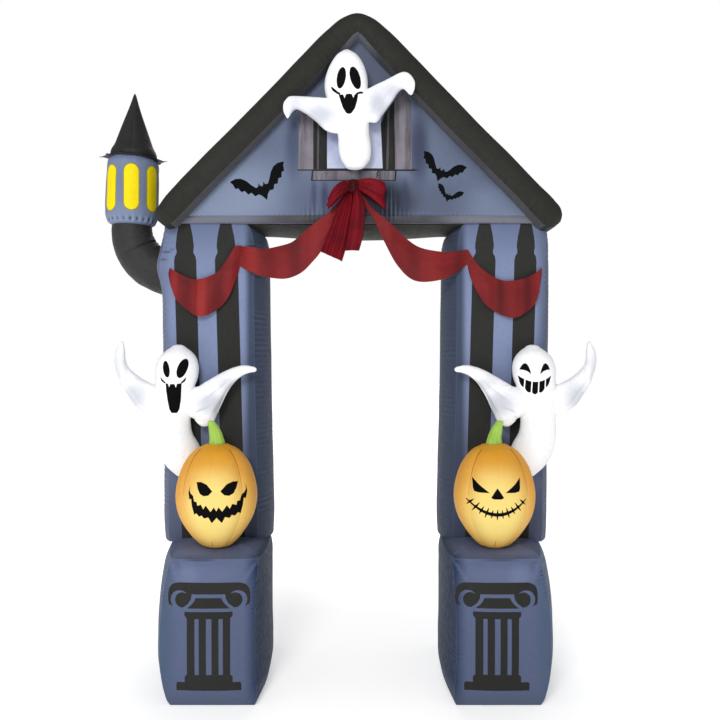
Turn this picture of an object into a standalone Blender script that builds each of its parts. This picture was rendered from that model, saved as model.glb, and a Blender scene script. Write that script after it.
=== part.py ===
"""Inflatable archway in the form of a house front, as blown-up cloth pieces.

Two striped columns stand on padded pedestals and carry a gable under a black
roof. A small turret on a bent pipe, three ghosts, two pumpkins, four swags and
a bow are sewn on. Metres, +Z up, the front faces -Y. Lengths along X are from
the arch's middle plane, heights are from the floor, and depths are from the
front face of the columns. The arch empty moves the whole to its own origin.
"""
import math
from collections import namedtuple

import bmesh
import bpy
from mathutils import Vector
from mathutils.bvhtree import BVHTree

GAP = 0.0003                 # clearance between two pieces that touch
MERGE = 0.00005              # points closer than this become one
CLOTH_CLEAR = 0.0025         # draped cloth to what it hangs over
CLOTH_THICK = 0.002          # doubled swag and bow cloth
LEFT, RIGHT = -1, 1

COLUMN_FRONT = 0.0
COLUMN_BACK = 0.38
PEDESTAL_FRONT = -0.28
PEDESTAL_BACK = 0.38
GABLE_FRONT = -0.02
GABLE_BACK = 0.392
GABLE_FOOT = 1.898           # height of the gable's flat underside
GABLE_HALF = 0.745
GABLE_TOP = 2.675
GABLE_CROWN = 0.045
ROOF_FRONT = -0.11
ROOF_BACK = 0.49
ROOF_SWELL = 0.011
PIPE_DEPTH = 0.17            # middle plane of the bent pipe and the turret
PUMPKIN_DEPTH = -0.165
PUMPKIN_FLATNESS = 0.87      # depth over width
PUMPKIN_GORES = 8
GORE_DRAW = 0.03             # how far a gore seam is drawn in, of the radius

MATERIALS = {
    # name: (red, green, blue, roughness), linear colour
    "blue_cloth": (0.16, 0.20, 0.34, 0.55),
    "black_cloth": (0.020, 0.020, 0.018, 0.60),
    "white_cloth": (0.90, 0.90, 0.92, 0.55),
    "orange_cloth": (0.85, 0.52, 0.14, 0.50),
    "green_cloth": (0.32, 0.55, 0.10, 0.50),
    "red_cloth": (0.20, 0.025, 0.028, 0.45),
    "crimson_ribbon": (0.22, 0.008, 0.020, 0.40),
}

# A level section of a blown-up box: its middle and half width at the front and
# at the back, and how far its sides and its front and back faces swell.
BoxRow = namedtuple("BoxRow", "height fore_middle fore_half back_middle back_half side_swell face_swell")
PEDESTAL_ROWS = [
    BoxRow(0.000, 0.552, 0.162, 0.575, 0.170, 0.000, 0.000),
    BoxRow(0.012, 0.553, 0.171, 0.585, 0.181, 0.018, 0.008),
    BoxRow(0.050, 0.560, 0.178, 0.592, 0.186, 0.036, 0.016),
    BoxRow(0.130, 0.570, 0.182, 0.596, 0.189, 0.043, 0.022),
    BoxRow(0.230, 0.573, 0.183, 0.598, 0.190, 0.043, 0.025),
    BoxRow(0.350, 0.570, 0.181, 0.599, 0.191, 0.042, 0.025),
    BoxRow(0.460, 0.560, 0.176, 0.600, 0.192, 0.040, 0.021),
    BoxRow(0.530, 0.549, 0.171, 0.600, 0.191, 0.036, 0.013),
    BoxRow(0.563, 0.543, 0.167, 0.598, 0.188, 0.026, 0.004),
]
LEDGE_ROWS = [
    # share of the top seam's outline, rise above that seam
    (0.86, 0.014),
    (0.62, 0.022),
    (0.30, 0.026),
]
COLUMN_ROWS = [
    BoxRow(0.566, 0.596, 0.184, 0.596, 0.184, 0.048, 0.016),
    BoxRow(0.640, 0.597, 0.186, 0.597, 0.186, 0.050, 0.020),
    BoxRow(0.760, 0.598, 0.186, 0.598, 0.186, 0.050, 0.021),
    BoxRow(0.950, 0.601, 0.185, 0.601, 0.185, 0.049, 0.021),
    BoxRow(1.250, 0.606, 0.184, 0.606, 0.184, 0.048, 0.021),
    BoxRow(1.550, 0.609, 0.184, 0.609, 0.184, 0.047, 0.021),
    BoxRow(1.760, 0.611, 0.184, 0.611, 0.184, 0.044, 0.020),
    BoxRow(1.835, 0.612, 0.181, 0.612, 0.181, 0.034, 0.017),
    BoxRow(1.875, 0.613, 0.172, 0.613, 0.172, 0.022, 0.012),
    BoxRow(1.906, 0.615, 0.153, 0.615, 0.153, 0.010, 0.006),
]
SIDE_STEPS = 5

# Middle line of a roof slope, from the ridge down to the eave, with half the
# thickness there and how far the front and back edges are drawn in.
SlopeRow = namedtuple("SlopeRow", "out height half draw")
ROOF_ROWS = [
    SlopeRow(0.000, 2.700, 0.037, 0.000),
    SlopeRow(0.035, 2.686, 0.040, 0.000),
    SlopeRow(0.090, 2.636, 0.046, 0.000),
    SlopeRow(0.200, 2.521, 0.049, 0.000),
    SlopeRow(0.310, 2.407, 0.049, 0.000),
    SlopeRow(0.450, 2.262, 0.049, 0.000),
    SlopeRow(0.600, 2.113, 0.049, 0.000),
    SlopeRow(0.700, 2.010, 0.048, 0.000),
]
LEFT_EAVE_ROWS = [
    SlopeRow(0.766, 1.938, 0.045, 0.004),
    SlopeRow(0.794, 1.907, 0.037, 0.014),
    SlopeRow(0.808, 1.890, 0.020, 0.034),
]
RIGHT_EAVE_ROWS = [
    SlopeRow(0.766, 1.942, 0.050, 0.002),
    SlopeRow(0.796, 1.910, 0.046, 0.008),
    SlopeRow(0.812, 1.893, 0.033, 0.020),
    SlopeRow(0.820, 1.884, 0.018, 0.034),
]
ROOF_MIDDLE = 0.008          # the roof sits a little to the right

LINTEL_ROWS = [
    # distance from the middle, how far the black underside sags
    (0.000, 0.036),
    (0.150, 0.033),
    (0.280, 0.024),
    (0.390, 0.013),
    (0.460, 0.008),
]

# A round section in the middle plane of the pipe: its distance to the left,
# height, radius, and how far its plane falls towards the columns, in degrees.
RoundRow = namedtuple("RoundRow", "out height radius fall")
PIPE_ROWS = [
    RoundRow(0.780, 1.690, 0.094, -72),
    RoundRow(0.820, 1.703, 0.095, -70),
    RoundRow(0.862, 1.720, 0.096, -64),
    RoundRow(0.910, 1.747, 0.096, -52),
    RoundRow(0.944, 1.784, 0.094, -36),
    RoundRow(0.969, 1.828, 0.091, -23),
    RoundRow(0.981, 1.870, 0.088, -9),
    RoundRow(0.983, 1.914, 0.086, 2),
]
TURRET_ROWS = [
    RoundRow(0.983, 1.9145, 0.084, 2),
    RoundRow(0.983, 1.922, 0.098, 2),
    RoundRow(0.983, 1.944, 0.109, 2),
    RoundRow(0.983, 1.985, 0.113, 2),
    RoundRow(0.981, 2.065, 0.113, 2),
    RoundRow(0.978, 2.145, 0.111, 2),
    RoundRow(0.976, 2.190, 0.108, 3),
    RoundRow(0.975, 2.206, 0.100, 4),
]
BRIM_ROWS = [
    RoundRow(0.975, 2.2064, 1.0, 4),
    RoundRow(0.975, 2.2094, 1.0, 4),
]
BRIM_RADII = [0.146, 0.121, 0.136, 0.118, 0.139, 0.124, 0.131, 0.119, 0.143,
              0.150, 0.134, 0.147, 0.120, 0.138, 0.117, 0.133, 0.123, 0.140]
CONE_ROWS = [
    RoundRow(0.975, 2.2098, 0.094, 4),
    RoundRow(0.975, 2.217, 0.098, 4),
    RoundRow(0.975, 2.272, 0.079, 3),
    RoundRow(0.974, 2.360, 0.047, 1),
    RoundRow(0.971, 2.450, 0.017, 0),
    RoundRow(0.970, 2.487, 0.006, 0),
]
CONE_TIP = 2.498
ROUND_STEPS = 18             # sides of a round piece

PUMPKIN_ROWS = [
    # height, half width
    (0.584, 0.020),
    (0.598, 0.046),
    (0.618, 0.072),
    (0.655, 0.112),
    (0.712, 0.147),
    (0.785, 0.161),
    (0.860, 0.151),
    (0.925, 0.125),
    (0.972, 0.086),
    (0.994, 0.045),
]
PUMPKIN_MIDDLE = 0.554
PUMPKIN_STEPS = 24

# An oval section: its station along the loft, its two edges across the face,
# the depth of its middle and half its thickness.
Oval = namedtuple("Oval", "station low high depth half")
STEM_ROWS = [
    Oval(0.975, 0.523, 0.588, -0.165, 0.030),
    Oval(0.998, 0.521, 0.586, -0.165, 0.029),
    Oval(1.016, 0.526, 0.583, -0.166, 0.026),
    Oval(1.040, 0.534, 0.585, -0.167, 0.023),
    Oval(1.062, 0.545, 0.587, -0.169, 0.019),
    Oval(1.082, 0.559, 0.590, -0.171, 0.013),
]
STEM_TIP = (1.088, 0.575, -0.171)
GHOST_ROWS = [
    Oval(1.382, 0.698, 0.752, -0.078, 0.025),
    Oval(1.366, 0.675, 0.776, -0.077, 0.045),
    Oval(1.336, 0.652, 0.805, -0.076, 0.063),
    Oval(1.296, 0.643, 0.819, -0.075, 0.073),
    Oval(1.255, 0.647, 0.820, -0.074, 0.072),
    Oval(1.210, 0.664, 0.821, -0.072, 0.065),
    Oval(1.144, 0.674, 0.823, -0.070, 0.060),
    Oval(1.091, 0.678, 0.825, -0.069, 0.060),
    Oval(1.034, 0.672, 0.824, -0.068, 0.060),
    Oval(0.977, 0.643, 0.819, -0.066, 0.060),
    Oval(0.928, 0.631, 0.803, -0.065, 0.057),
    Oval(0.887, 0.635, 0.774, -0.062, 0.050),
    Oval(0.856, 0.655, 0.740, -0.058, 0.035),
]
GHOST_TIPS = ((1.391, 0.725, -0.078), (0.844, 0.695, -0.055))
RAISED_ARM_ROWS = [
    Oval(1.396, 0.942, 0.959, -0.105, 0.010),
    Oval(1.369, 0.937, 0.974, -0.104, 0.018),
    Oval(1.328, 0.936, 0.981, -0.102, 0.024),
    Oval(1.287, 0.914, 0.975, -0.098, 0.029),
    Oval(1.255, 0.876, 0.966, -0.093, 0.033),
    Oval(1.222, 0.820, 0.955, -0.086, 0.037),
    Oval(1.185, 0.790, 0.933, -0.080, 0.039),
    Oval(1.144, 0.790, 0.906, -0.076, 0.036),
    Oval(1.116, 0.795, 0.872, -0.074, 0.024),
]
RAISED_ARM_TIPS = ((1.406, 0.949, -0.105), (1.104, 0.835, -0.073))
SPREAD_ARM_ROWS = [
    Oval(0.700, 1.110, 1.196, -0.078, 0.034),
    Oval(0.664, 1.088, 1.212, -0.081, 0.040),
    Oval(0.627, 1.055, 1.232, -0.084, 0.041),
    Oval(0.590, 1.064, 1.253, -0.086, 0.039),
    Oval(0.560, 1.118, 1.270, -0.088, 0.035),
    Oval(0.525, 1.192, 1.288, -0.089, 0.029),
    Oval(0.488, 1.243, 1.302, -0.090, 0.022),
    Oval(0.451, 1.269, 1.308, -0.090, 0.016),
    Oval(0.420, 1.278, 1.303, -0.090, 0.010),
]
SPREAD_ARM_TIPS = ((0.715, 1.153, -0.078), (0.401, 1.288, -0.090))
WINDOW_GHOST_ROWS = [
    Oval(2.572, -0.057, -0.012, -0.130, 0.024),
    Oval(2.558, -0.076, 0.007, -0.129, 0.043),
    Oval(2.536, -0.093, 0.024, -0.128, 0.058),
    Oval(2.505, -0.110, 0.040, -0.126, 0.069),
    Oval(2.470, -0.121, 0.049, -0.125, 0.074),
    Oval(2.430, -0.125, 0.051, -0.124, 0.074),
    Oval(2.390, -0.119, 0.051, -0.123, 0.070),
    Oval(2.345, -0.107, 0.054, -0.122, 0.066),
    Oval(2.290, -0.087, 0.054, -0.120, 0.063),
    Oval(2.235, -0.072, 0.058, -0.118, 0.062),
    Oval(2.180, -0.068, 0.065, -0.116, 0.060),
    Oval(2.143, -0.060, 0.059, -0.113, 0.052),
    Oval(2.116, -0.043, 0.039, -0.108, 0.035),
]
WINDOW_GHOST_TIPS = ((2.580, -0.035, -0.130), (2.102, -0.002, -0.104))
WINDOW_LEFT_ARM_ROWS = [
    Oval(-0.030, 2.258, 2.360, -0.146, 0.030),
    Oval(-0.078, 2.238, 2.374, -0.150, 0.034),
    Oval(-0.114, 2.246, 2.379, -0.152, 0.033),
    Oval(-0.166, 2.288, 2.382, -0.156, 0.029),
    Oval(-0.210, 2.320, 2.385, -0.158, 0.025),
    Oval(-0.240, 2.332, 2.385, -0.160, 0.022),
    Oval(-0.258, 2.314, 2.384, -0.162, 0.021),
    Oval(-0.271, 2.292, 2.379, -0.164, 0.019),
    Oval(-0.282, 2.310, 2.365, -0.164, 0.013),
]
WINDOW_LEFT_ARM_TIPS = ((-0.015, 2.310, -0.145), (-0.289, 2.340, -0.164))
WINDOW_RIGHT_ARM_ROWS = [
    Oval(0.000, 2.312, 2.396, -0.146, 0.030),
    Oval(0.040, 2.290, 2.411, -0.150, 0.034),
    Oval(0.066, 2.280, 2.424, -0.152, 0.034),
    Oval(0.086, 2.281, 2.435, -0.153, 0.033),
    Oval(0.104, 2.305, 2.443, -0.154, 0.031),
    Oval(0.128, 2.337, 2.455, -0.156, 0.028),
    Oval(0.152, 2.371, 2.467, -0.158, 0.025),
    Oval(0.172, 2.400, 2.476, -0.160, 0.023),
    Oval(0.190, 2.414, 2.481, -0.161, 0.022),
    Oval(0.208, 2.397, 2.478, -0.162, 0.020),
    Oval(0.223, 2.384, 2.466, -0.163, 0.016),
    Oval(0.233, 2.403, 2.450, -0.163, 0.011),
]
WINDOW_RIGHT_ARM_TIPS = ((-0.015, 2.354, -0.145), (0.238, 2.428, -0.163))
OVAL_STEPS = 14

# A sheet's station: a point of its upper edge, the point of its lower edge
# below it, the depth of its face and how far its middle bellies out.
Drape = namedtuple("Drape", "top_x top_z low_x low_z depth belly")
SWAG_ROWS = {
    "swag_outer_left": [
        Drape(-0.777, 1.712, -0.783, 1.692, -0.012, 0.000),
        Drape(-0.721, 1.681, -0.767, 1.634, -0.026, 0.006),
        Drape(-0.658, 1.662, -0.734, 1.567, -0.034, 0.012),
        Drape(-0.577, 1.690, -0.647, 1.508, -0.037, 0.016),
        Drape(-0.531, 1.750, -0.568, 1.541, -0.034, 0.012),
        Drape(-0.499, 1.800, -0.517, 1.609, -0.028, 0.006),
        Drape(-0.4715, 1.802, -0.484, 1.718, -0.010, 0.000),
    ],
    "swag_inner_left": [
        Drape(-0.4665, 1.802, -0.479, 1.718, -0.010, 0.000),
        Drape(-0.419, 1.795, -0.425, 1.689, -0.030, 0.006),
        Drape(-0.370, 1.789, -0.370, 1.671, -0.042, 0.012),
        Drape(-0.271, 1.811, -0.291, 1.662, -0.050, 0.016),
        Drape(-0.221, 1.850, -0.229, 1.684, -0.054, 0.014),
        Drape(-0.166, 1.894, -0.182, 1.726, -0.058, 0.008),
        Drape(-0.103, 1.943, -0.130, 1.795, -0.060, 0.004),
        Drape(-0.030, 2.030, -0.030, 1.992, -0.060, 0.000),
    ],
    "swag_inner_right": [
        Drape(0.013, 2.030, 0.013, 1.992, -0.060, 0.000),
        Drape(0.068, 1.956, 0.070, 1.915, -0.060, 0.003),
        Drape(0.119, 1.912, 0.112, 1.827, -0.059, 0.006),
        Drape(0.213, 1.827, 0.172, 1.718, -0.055, 0.014),
        Drape(0.279, 1.789, 0.250, 1.653, -0.050, 0.016),
        Drape(0.374, 1.775, 0.370, 1.664, -0.040, 0.010),
        Drape(0.4665, 1.789, 0.464, 1.726, -0.010, 0.000),
    ],
    "swag_outer_right": [
        Drape(0.4715, 1.788, 0.4685, 1.724, -0.010, 0.000),
        Drape(0.519, 1.714, 0.490, 1.640, -0.028, 0.006),
        Drape(0.591, 1.664, 0.545, 1.550, -0.035, 0.012),
        Drape(0.654, 1.657, 0.640, 1.503, -0.037, 0.016),
        Drape(0.717, 1.673, 0.704, 1.524, -0.033, 0.012),
        Drape(0.750, 1.691, 0.754, 1.578, -0.026, 0.006),
        Drape(0.7805, 1.712, 0.779, 1.692, -0.012, 0.000),
    ],
}
TAIL_ROWS = {
    "bow_tail_left": [
        Drape(-0.030, 2.030, -0.009, 2.030, -0.078, 0.000),
        Drape(-0.068, 1.964, -0.008, 1.958, -0.078, 0.000),
        Drape(-0.092, 1.902, -0.018, 1.892, -0.078, 0.003),
        Drape(-0.117, 1.837, -0.031, 1.816, -0.077, 0.004),
        Drape(-0.142, 1.771, -0.055, 1.731, -0.076, 0.005),
    ],
    "bow_tail_front": [
        Drape(-0.006, 2.030, 0.014, 2.030, -0.096, 0.000),
        Drape(-0.012, 1.960, 0.036, 1.960, -0.098, 0.003),
        Drape(-0.022, 1.895, 0.037, 1.895, -0.098, 0.004),
        Drape(-0.032, 1.830, 0.030, 1.830, -0.097, 0.005),
        Drape(-0.042, 1.773, 0.015, 1.773, -0.096, 0.005),
    ],
}
SWAG_ALONG, SWAG_ACROSS = 16, 4
TAIL_ALONG, TAIL_ACROSS = 6, 6
FOLDS_ALONG = 2.5            # soft upright folds over the length of one swag
FOLD_DEPTH = 0.005
TAIL_FOLD = 0.006

KNOT_ROWS = [
    Oval(2.009, -0.026, 0.010, -0.080, 0.028),
    Oval(2.016, -0.035, 0.018, -0.080, 0.036),
    Oval(2.036, -0.037, 0.021, -0.080, 0.039),
    Oval(2.056, -0.035, 0.019, -0.080, 0.036),
    Oval(2.064, -0.026, 0.010, -0.080, 0.028),
]
LoopRow = namedtuple("LoopRow", "out depth top low")
LOOP_ROWS = {
    "bow_loop_left": [
        LoopRow(-0.026, -0.104, 2.056, 2.022),
        LoopRow(-0.060, -0.122, 2.050, 1.996),
        LoopRow(-0.092, -0.126, 2.020, 1.962),
        LoopRow(-0.111, -0.114, 1.985, 1.941),
        LoopRow(-0.113, -0.100, 1.981, 1.940),
        LoopRow(-0.096, -0.088, 2.010, 1.958),
        LoopRow(-0.062, -0.086, 2.046, 1.990),
        LoopRow(-0.027, -0.090, 2.056, 2.022),
    ],
    "bow_loop_right": [
        LoopRow(0.010, -0.104, 2.060, 2.022),
        LoopRow(0.048, -0.124, 2.064, 1.996),
        LoopRow(0.088, -0.130, 2.058, 1.964),
        LoopRow(0.117, -0.117, 2.046, 1.941),
        LoopRow(0.120, -0.101, 2.040, 1.940),
        LoopRow(0.092, -0.088, 2.054, 1.962),
        LoopRow(0.050, -0.086, 2.062, 1.992),
        LoopRow(0.011, -0.090, 2.060, 2.022),
    ],
}
LOOP_STEPS = 3               # faces across a loop's band


def clear_scene():
    for thing in list(bpy.data.objects):
        bpy.data.objects.remove(thing, do_unlink=True)


def make_materials():
    made = {}
    for name, (red, green, blue, roughness) in MATERIALS.items():
        material = bpy.data.materials.new(name)
        material.use_nodes = True
        shader = material.node_tree.nodes["Principled BSDF"]
        shader.inputs["Base Color"].default_value = (red, green, blue, 1.0)
        shader.inputs["Roughness"].default_value = roughness
        shader.inputs["Metallic"].default_value = 0.0
        made[name] = material
    return made


def loft(rings, start_tip=None, end_tip=None):
    """Closed skin through rings of points, ended by a tip or a flat face."""
    shape = bmesh.new()
    rows = [[shape.verts.new(point) for point in ring] for ring in rings]
    count = len(rows[0])
    for near, far in zip(rows, rows[1:]):
        for i in range(count):
            j = (i + 1) % count
            shape.faces.new((near[i], near[j], far[j], far[i]))
    for row, tip in ((rows[0], start_tip), (rows[-1], end_tip)):
        if tip is None:
            shape.faces.new(row)
            continue
        point = shape.verts.new(tip)
        for i in range(count):
            shape.faces.new((row[i], row[(i + 1) % count], point))
    return face_out(shape)


def face_out(shape):
    bmesh.ops.recalc_face_normals(shape, faces=shape.faces)
    if shape.calc_volume(signed=True) < 0:
        bmesh.ops.reverse_faces(shape, faces=shape.faces)
    return shape


def swell(share):
    """Height of a blown-up panel at a share from -1 to 1 across it."""
    return 1.0 - abs(share) ** 2.3


def box_outline(row, front, back, side):
    """Level outline of a blown-up box, its four faces swelled between seams."""
    seams = [
        Vector((side * row.fore_middle - row.fore_half, front, row.height)),
        Vector((side * row.fore_middle + row.fore_half, front, row.height)),
        Vector((side * row.back_middle + row.back_half, back, row.height)),
        Vector((side * row.back_middle - row.back_half, back, row.height)),
    ]
    bows = [(Vector((0, -1, 0)), row.face_swell), (Vector((1, 0, 0)), row.side_swell),
            (Vector((0, 1, 0)), row.face_swell), (Vector((-1, 0, 0)), row.side_swell)]
    outline = []
    for start, end, (outwards, reach) in zip(seams, seams[1:] + seams[:1], bows):
        for step in range(SIDE_STEPS):
            share = step / SIDE_STEPS
            outline.append(start.lerp(end, share) + outwards * (reach * swell(2 * share - 1)))
    return outline


def pedestal(side):
    rings = [box_outline(row, PEDESTAL_FRONT, PEDESTAL_BACK, side) for row in PEDESTAL_ROWS]
    seam = rings[-1]
    centre = sum(seam, Vector()) / len(seam)
    for share, rise in LEDGE_ROWS:
        rings.append([centre + (point - centre) * share + Vector((0, 0, rise)) for point in seam])
    return loft(rings, end_tip=centre + Vector((0, 0, LEDGE_ROWS[-1][1] + 0.001)))


def column(side):
    return loft([box_outline(row, COLUMN_FRONT, COLUMN_BACK, side) for row in COLUMN_ROWS])


def roof():
    """One black chevron: a padded strip swept over both slopes."""
    left = [row._replace(out=-row.out) for row in reversed(ROOF_ROWS[1:] + LEFT_EAVE_ROWS)]
    rows = left + ROOF_ROWS + RIGHT_EAVE_ROWS
    rings = []
    for index, row in enumerate(rows):
        before = rows[max(index - 1, 0)]
        after = rows[min(index + 1, len(rows) - 1)]
        along = Vector((after.out - before.out, 0, after.height - before.height)).normalized()
        up = Vector((-along.z, 0, along.x))
        middle = Vector((ROOF_MIDDLE + row.out, 0, row.height))
        front = ROOF_FRONT + row.draw
        back = ROOF_BACK - row.draw
        ring = []
        for face, steps in (("under", 5), ("back", 2), ("top", 5), ("front", 2)):
            for step in range(steps):
                share = step / steps
                bow = swell(2 * share - 1) * ROOF_SWELL
                if face == "under":
                    across, rise = front + share * (back - front), -row.half - bow
                elif face == "back":
                    across, rise = back + bow, row.half * (2 * share - 1)
                elif face == "top":
                    across, rise = back - share * (back - front), row.half + bow
                else:
                    across, rise = front - bow, row.half * (1 - 2 * share)
                ring.append(middle + up * rise + Vector((0, across, 0)))
        rings.append(ring)
    return loft(rings)


def gable_outline(steps=8):
    corners = [Vector((-GABLE_HALF, 0, GABLE_FOOT)), Vector((GABLE_HALF, 0, GABLE_FOOT)),
               Vector((0, 0, GABLE_TOP))]
    outline = []
    for start, end in zip(corners, corners[1:] + corners[:1]):
        for step in range(steps):
            outline.append(start.lerp(end, step / steps))
    return outline


def gable():
    """Three-cornered cushion, crowned at the front and at the back."""
    outline = gable_outline()
    heart = Vector((0, 0, GABLE_FOOT + 0.36 * (GABLE_TOP - GABLE_FOOT)))
    shares = [0.30, 0.55, 0.78, 0.93, 1.0]
    rings = []
    for share in shares:
        depth = Vector((0, GABLE_FRONT - GABLE_CROWN * (1 - share ** 2.3), 0))
        rings.append([heart.lerp(point, share) + depth for point in outline])
    for share in reversed(shares):
        depth = Vector((0, GABLE_BACK + GABLE_CROWN * (1 - share ** 2.3), 0))
        rings.append([heart.lerp(point, share) + depth for point in outline])
    front_tip = heart + Vector((0, GABLE_FRONT - GABLE_CROWN, 0))
    back_tip = heart + Vector((0, GABLE_BACK + GABLE_CROWN, 0))
    return loft(rings, front_tip, back_tip)


def lintel():
    """Black underside of the gable, sagging between the columns."""
    rows = [(-out, sag) for out, sag in reversed(LINTEL_ROWS[1:])] + LINTEL_ROWS
    front, back, steps = COLUMN_FRONT, COLUMN_BACK, 6
    top = GABLE_FOOT + 0.004
    rings = []
    for out, sag in rows:
        ring = []
        for step in range(steps + 1):
            share = step / steps
            drop = 0.004 + sag * swell(2 * share - 1)
            ring.append(Vector((out, front + share * (back - front), GABLE_FOOT - drop)))
        for share in (1.0, 0.5, 0.0):
            ring.append(Vector((out, front + share * (back - front), top)))
        rings.append(ring)
    return loft(rings)


def round_loft(rows, end_height=None, radii=(1.0,) * ROUND_STEPS):
    """Round piece in the pipe's plane, with a share of the radius per step."""
    rings = []
    for row in rows:
        fall = math.radians(row.fall)
        across = Vector((math.cos(fall), 0, -math.sin(fall)))
        middle = Vector((-row.out, PIPE_DEPTH, row.height))
        ring = []
        for step, share in enumerate(radii):
            turn = 2 * math.pi * step / len(radii)
            spoke = across * math.cos(turn) + Vector((0, 1, 0)) * math.sin(turn)
            ring.append(middle + spoke * (row.radius * share))
        rings.append(ring)
    tip = None if end_height is None else Vector((-rows[-1].out, PIPE_DEPTH, end_height))
    return loft(rings, end_tip=tip)


def pumpkin(side):
    rings = []
    for height, half in PUMPKIN_ROWS:
        ring = []
        for step in range(PUMPKIN_STEPS):
            turn = 2 * math.pi * step / PUMPKIN_STEPS
            gore = abs(math.sin(PUMPKIN_GORES * turn / 2))
            reach = half * (1 - GORE_DRAW + GORE_DRAW * gore)
            ring.append(Vector((side * PUMPKIN_MIDDLE + reach * math.sin(turn),
                                PUMPKIN_DEPTH - reach * math.cos(turn) * PUMPKIN_FLATNESS, height)))
        rings.append(ring)
    return loft(rings)


def oval_loft(rows, tips, side=RIGHT, upright=True, steps=OVAL_STEPS):
    """Skin through oval sections, stacked upwards or strung out along X."""
    def place(station, across, depth):
        if upright:
            return Vector((side * across, depth, station))
        return Vector((side * station, depth, across))

    rings = []
    for row in rows:
        middle = (row.low + row.high) / 2
        reach = (row.high - row.low) / 2
        ring = []
        for step in range(steps):
            turn = 2 * math.pi * step / steps
            ring.append(place(row.station, middle + reach * math.cos(turn),
                              row.depth + row.half * math.sin(turn)))
        rings.append(ring)
    ends = [None if tip is None else place(*tip) for tip in tips]
    return loft(rings, ends[0], ends[1])


def curve_value(values, place):
    """Smooth curve through evenly spaced values, read at a place from 0 to 1."""
    spans = len(values) - 1
    index = min(int(place * spans), spans - 1)
    t = place * spans - index
    a = values[max(index - 1, 0)]
    b = values[index]
    c = values[index + 1]
    d = values[min(index + 2, spans)]
    return 0.5 * (2 * b + (c - a) * t + (2 * a - 5 * b + 4 * c - d) * t * t
                  + (3 * b - a - 3 * c + d) * t ** 3)


def drape(rows, along, across, carriers, fold, folds):
    """Thin sheet between its upper and lower edges, laid clear of its carriers."""
    columns = list(zip(*rows))
    front = []
    for i in range(along + 1):
        place = i / along
        top_x, top_z, low_x, low_z, depth, belly = (curve_value(column, place) for column in columns)
        ends = math.sin(math.pi * place) ** 0.5
        line = []
        for j in range(across + 1):
            share = j / across
            x = top_x + (low_x - top_x) * share
            z = top_z + (low_z - top_z) * share
            y = depth - belly * math.sin(math.pi * share * 0.75)
            y -= fold * ends * math.sin(2 * math.pi * folds(place, share))
            line.append(Vector((x, y, z)))
        front.append(line)
    for line in front:
        for point in line:
            back = nearest_behind(point, carriers)
            limit = None if back is None else back - CLOTH_THICK - clearance(line, front)
            if limit is not None and (point.y > limit or line is front[0] or line is front[-1]):
                point.y = limit
    shape = bmesh.new()
    skins = []
    for shift in (0.0, CLOTH_THICK):
        skins.append([[shape.verts.new(point + Vector((0, shift, 0))) for point in line]
                      for line in front])
    for grid in skins:
        for near, far in zip(grid, grid[1:]):
            for j in range(across):
                shape.faces.new((near[j], near[j + 1], far[j + 1], far[j]))
    fore, rear = skins
    rim = [(i, 0) for i in range(along)] + [(along, j) for j in range(across)]
    rim += [(i, across) for i in range(along, 0, -1)] + [(0, j) for j in range(across, 0, -1)]
    for (i, j), (k, m) in zip(rim, rim[1:] + rim[:1]):
        shape.faces.new((fore[i][j], fore[k][m], rear[k][m], rear[i][j]))
    return face_out(shape)


def clearance(line, front):
    """The ends of a sheet are sewn down, the rest hangs free of its carrier."""
    return 0.0005 if line is front[0] or line is front[-1] else CLOTH_CLEAR


def nearest_behind(point, carriers):
    """Depth of the first carrier surface straight behind a point."""
    start = Vector((point.x, -1.0, point.z))
    hits = [tree.ray_cast(start, Vector((0, 1, 0)))[0] for tree in carriers]
    depths = [hit.y for hit in hits if hit is not None]
    return min(depths) if depths else None


def ribbon_loop(rows):
    """Band of cloth that leaves the knot, turns over and comes back behind."""
    rings = []
    for index, row in enumerate(rows):
        before = rows[max(index - 1, 0)]
        after = rows[min(index + 1, len(rows) - 1)]
        along = Vector((after.out - before.out, after.depth - before.depth, 0)).normalized()
        normal = Vector((along.y, -along.x, 0)) * (CLOTH_THICK / 2)
        ring = []
        for face in (1, -1):
            for step in range(LOOP_STEPS + 1):
                share = step / LOOP_STEPS
                share = share if face == 1 else 1 - share
                height = row.low + (row.top - row.low) * share
                ring.append(Vector((row.out, row.depth, height)) + normal * face)
        rings.append(ring)
    return loft(rings)


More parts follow.
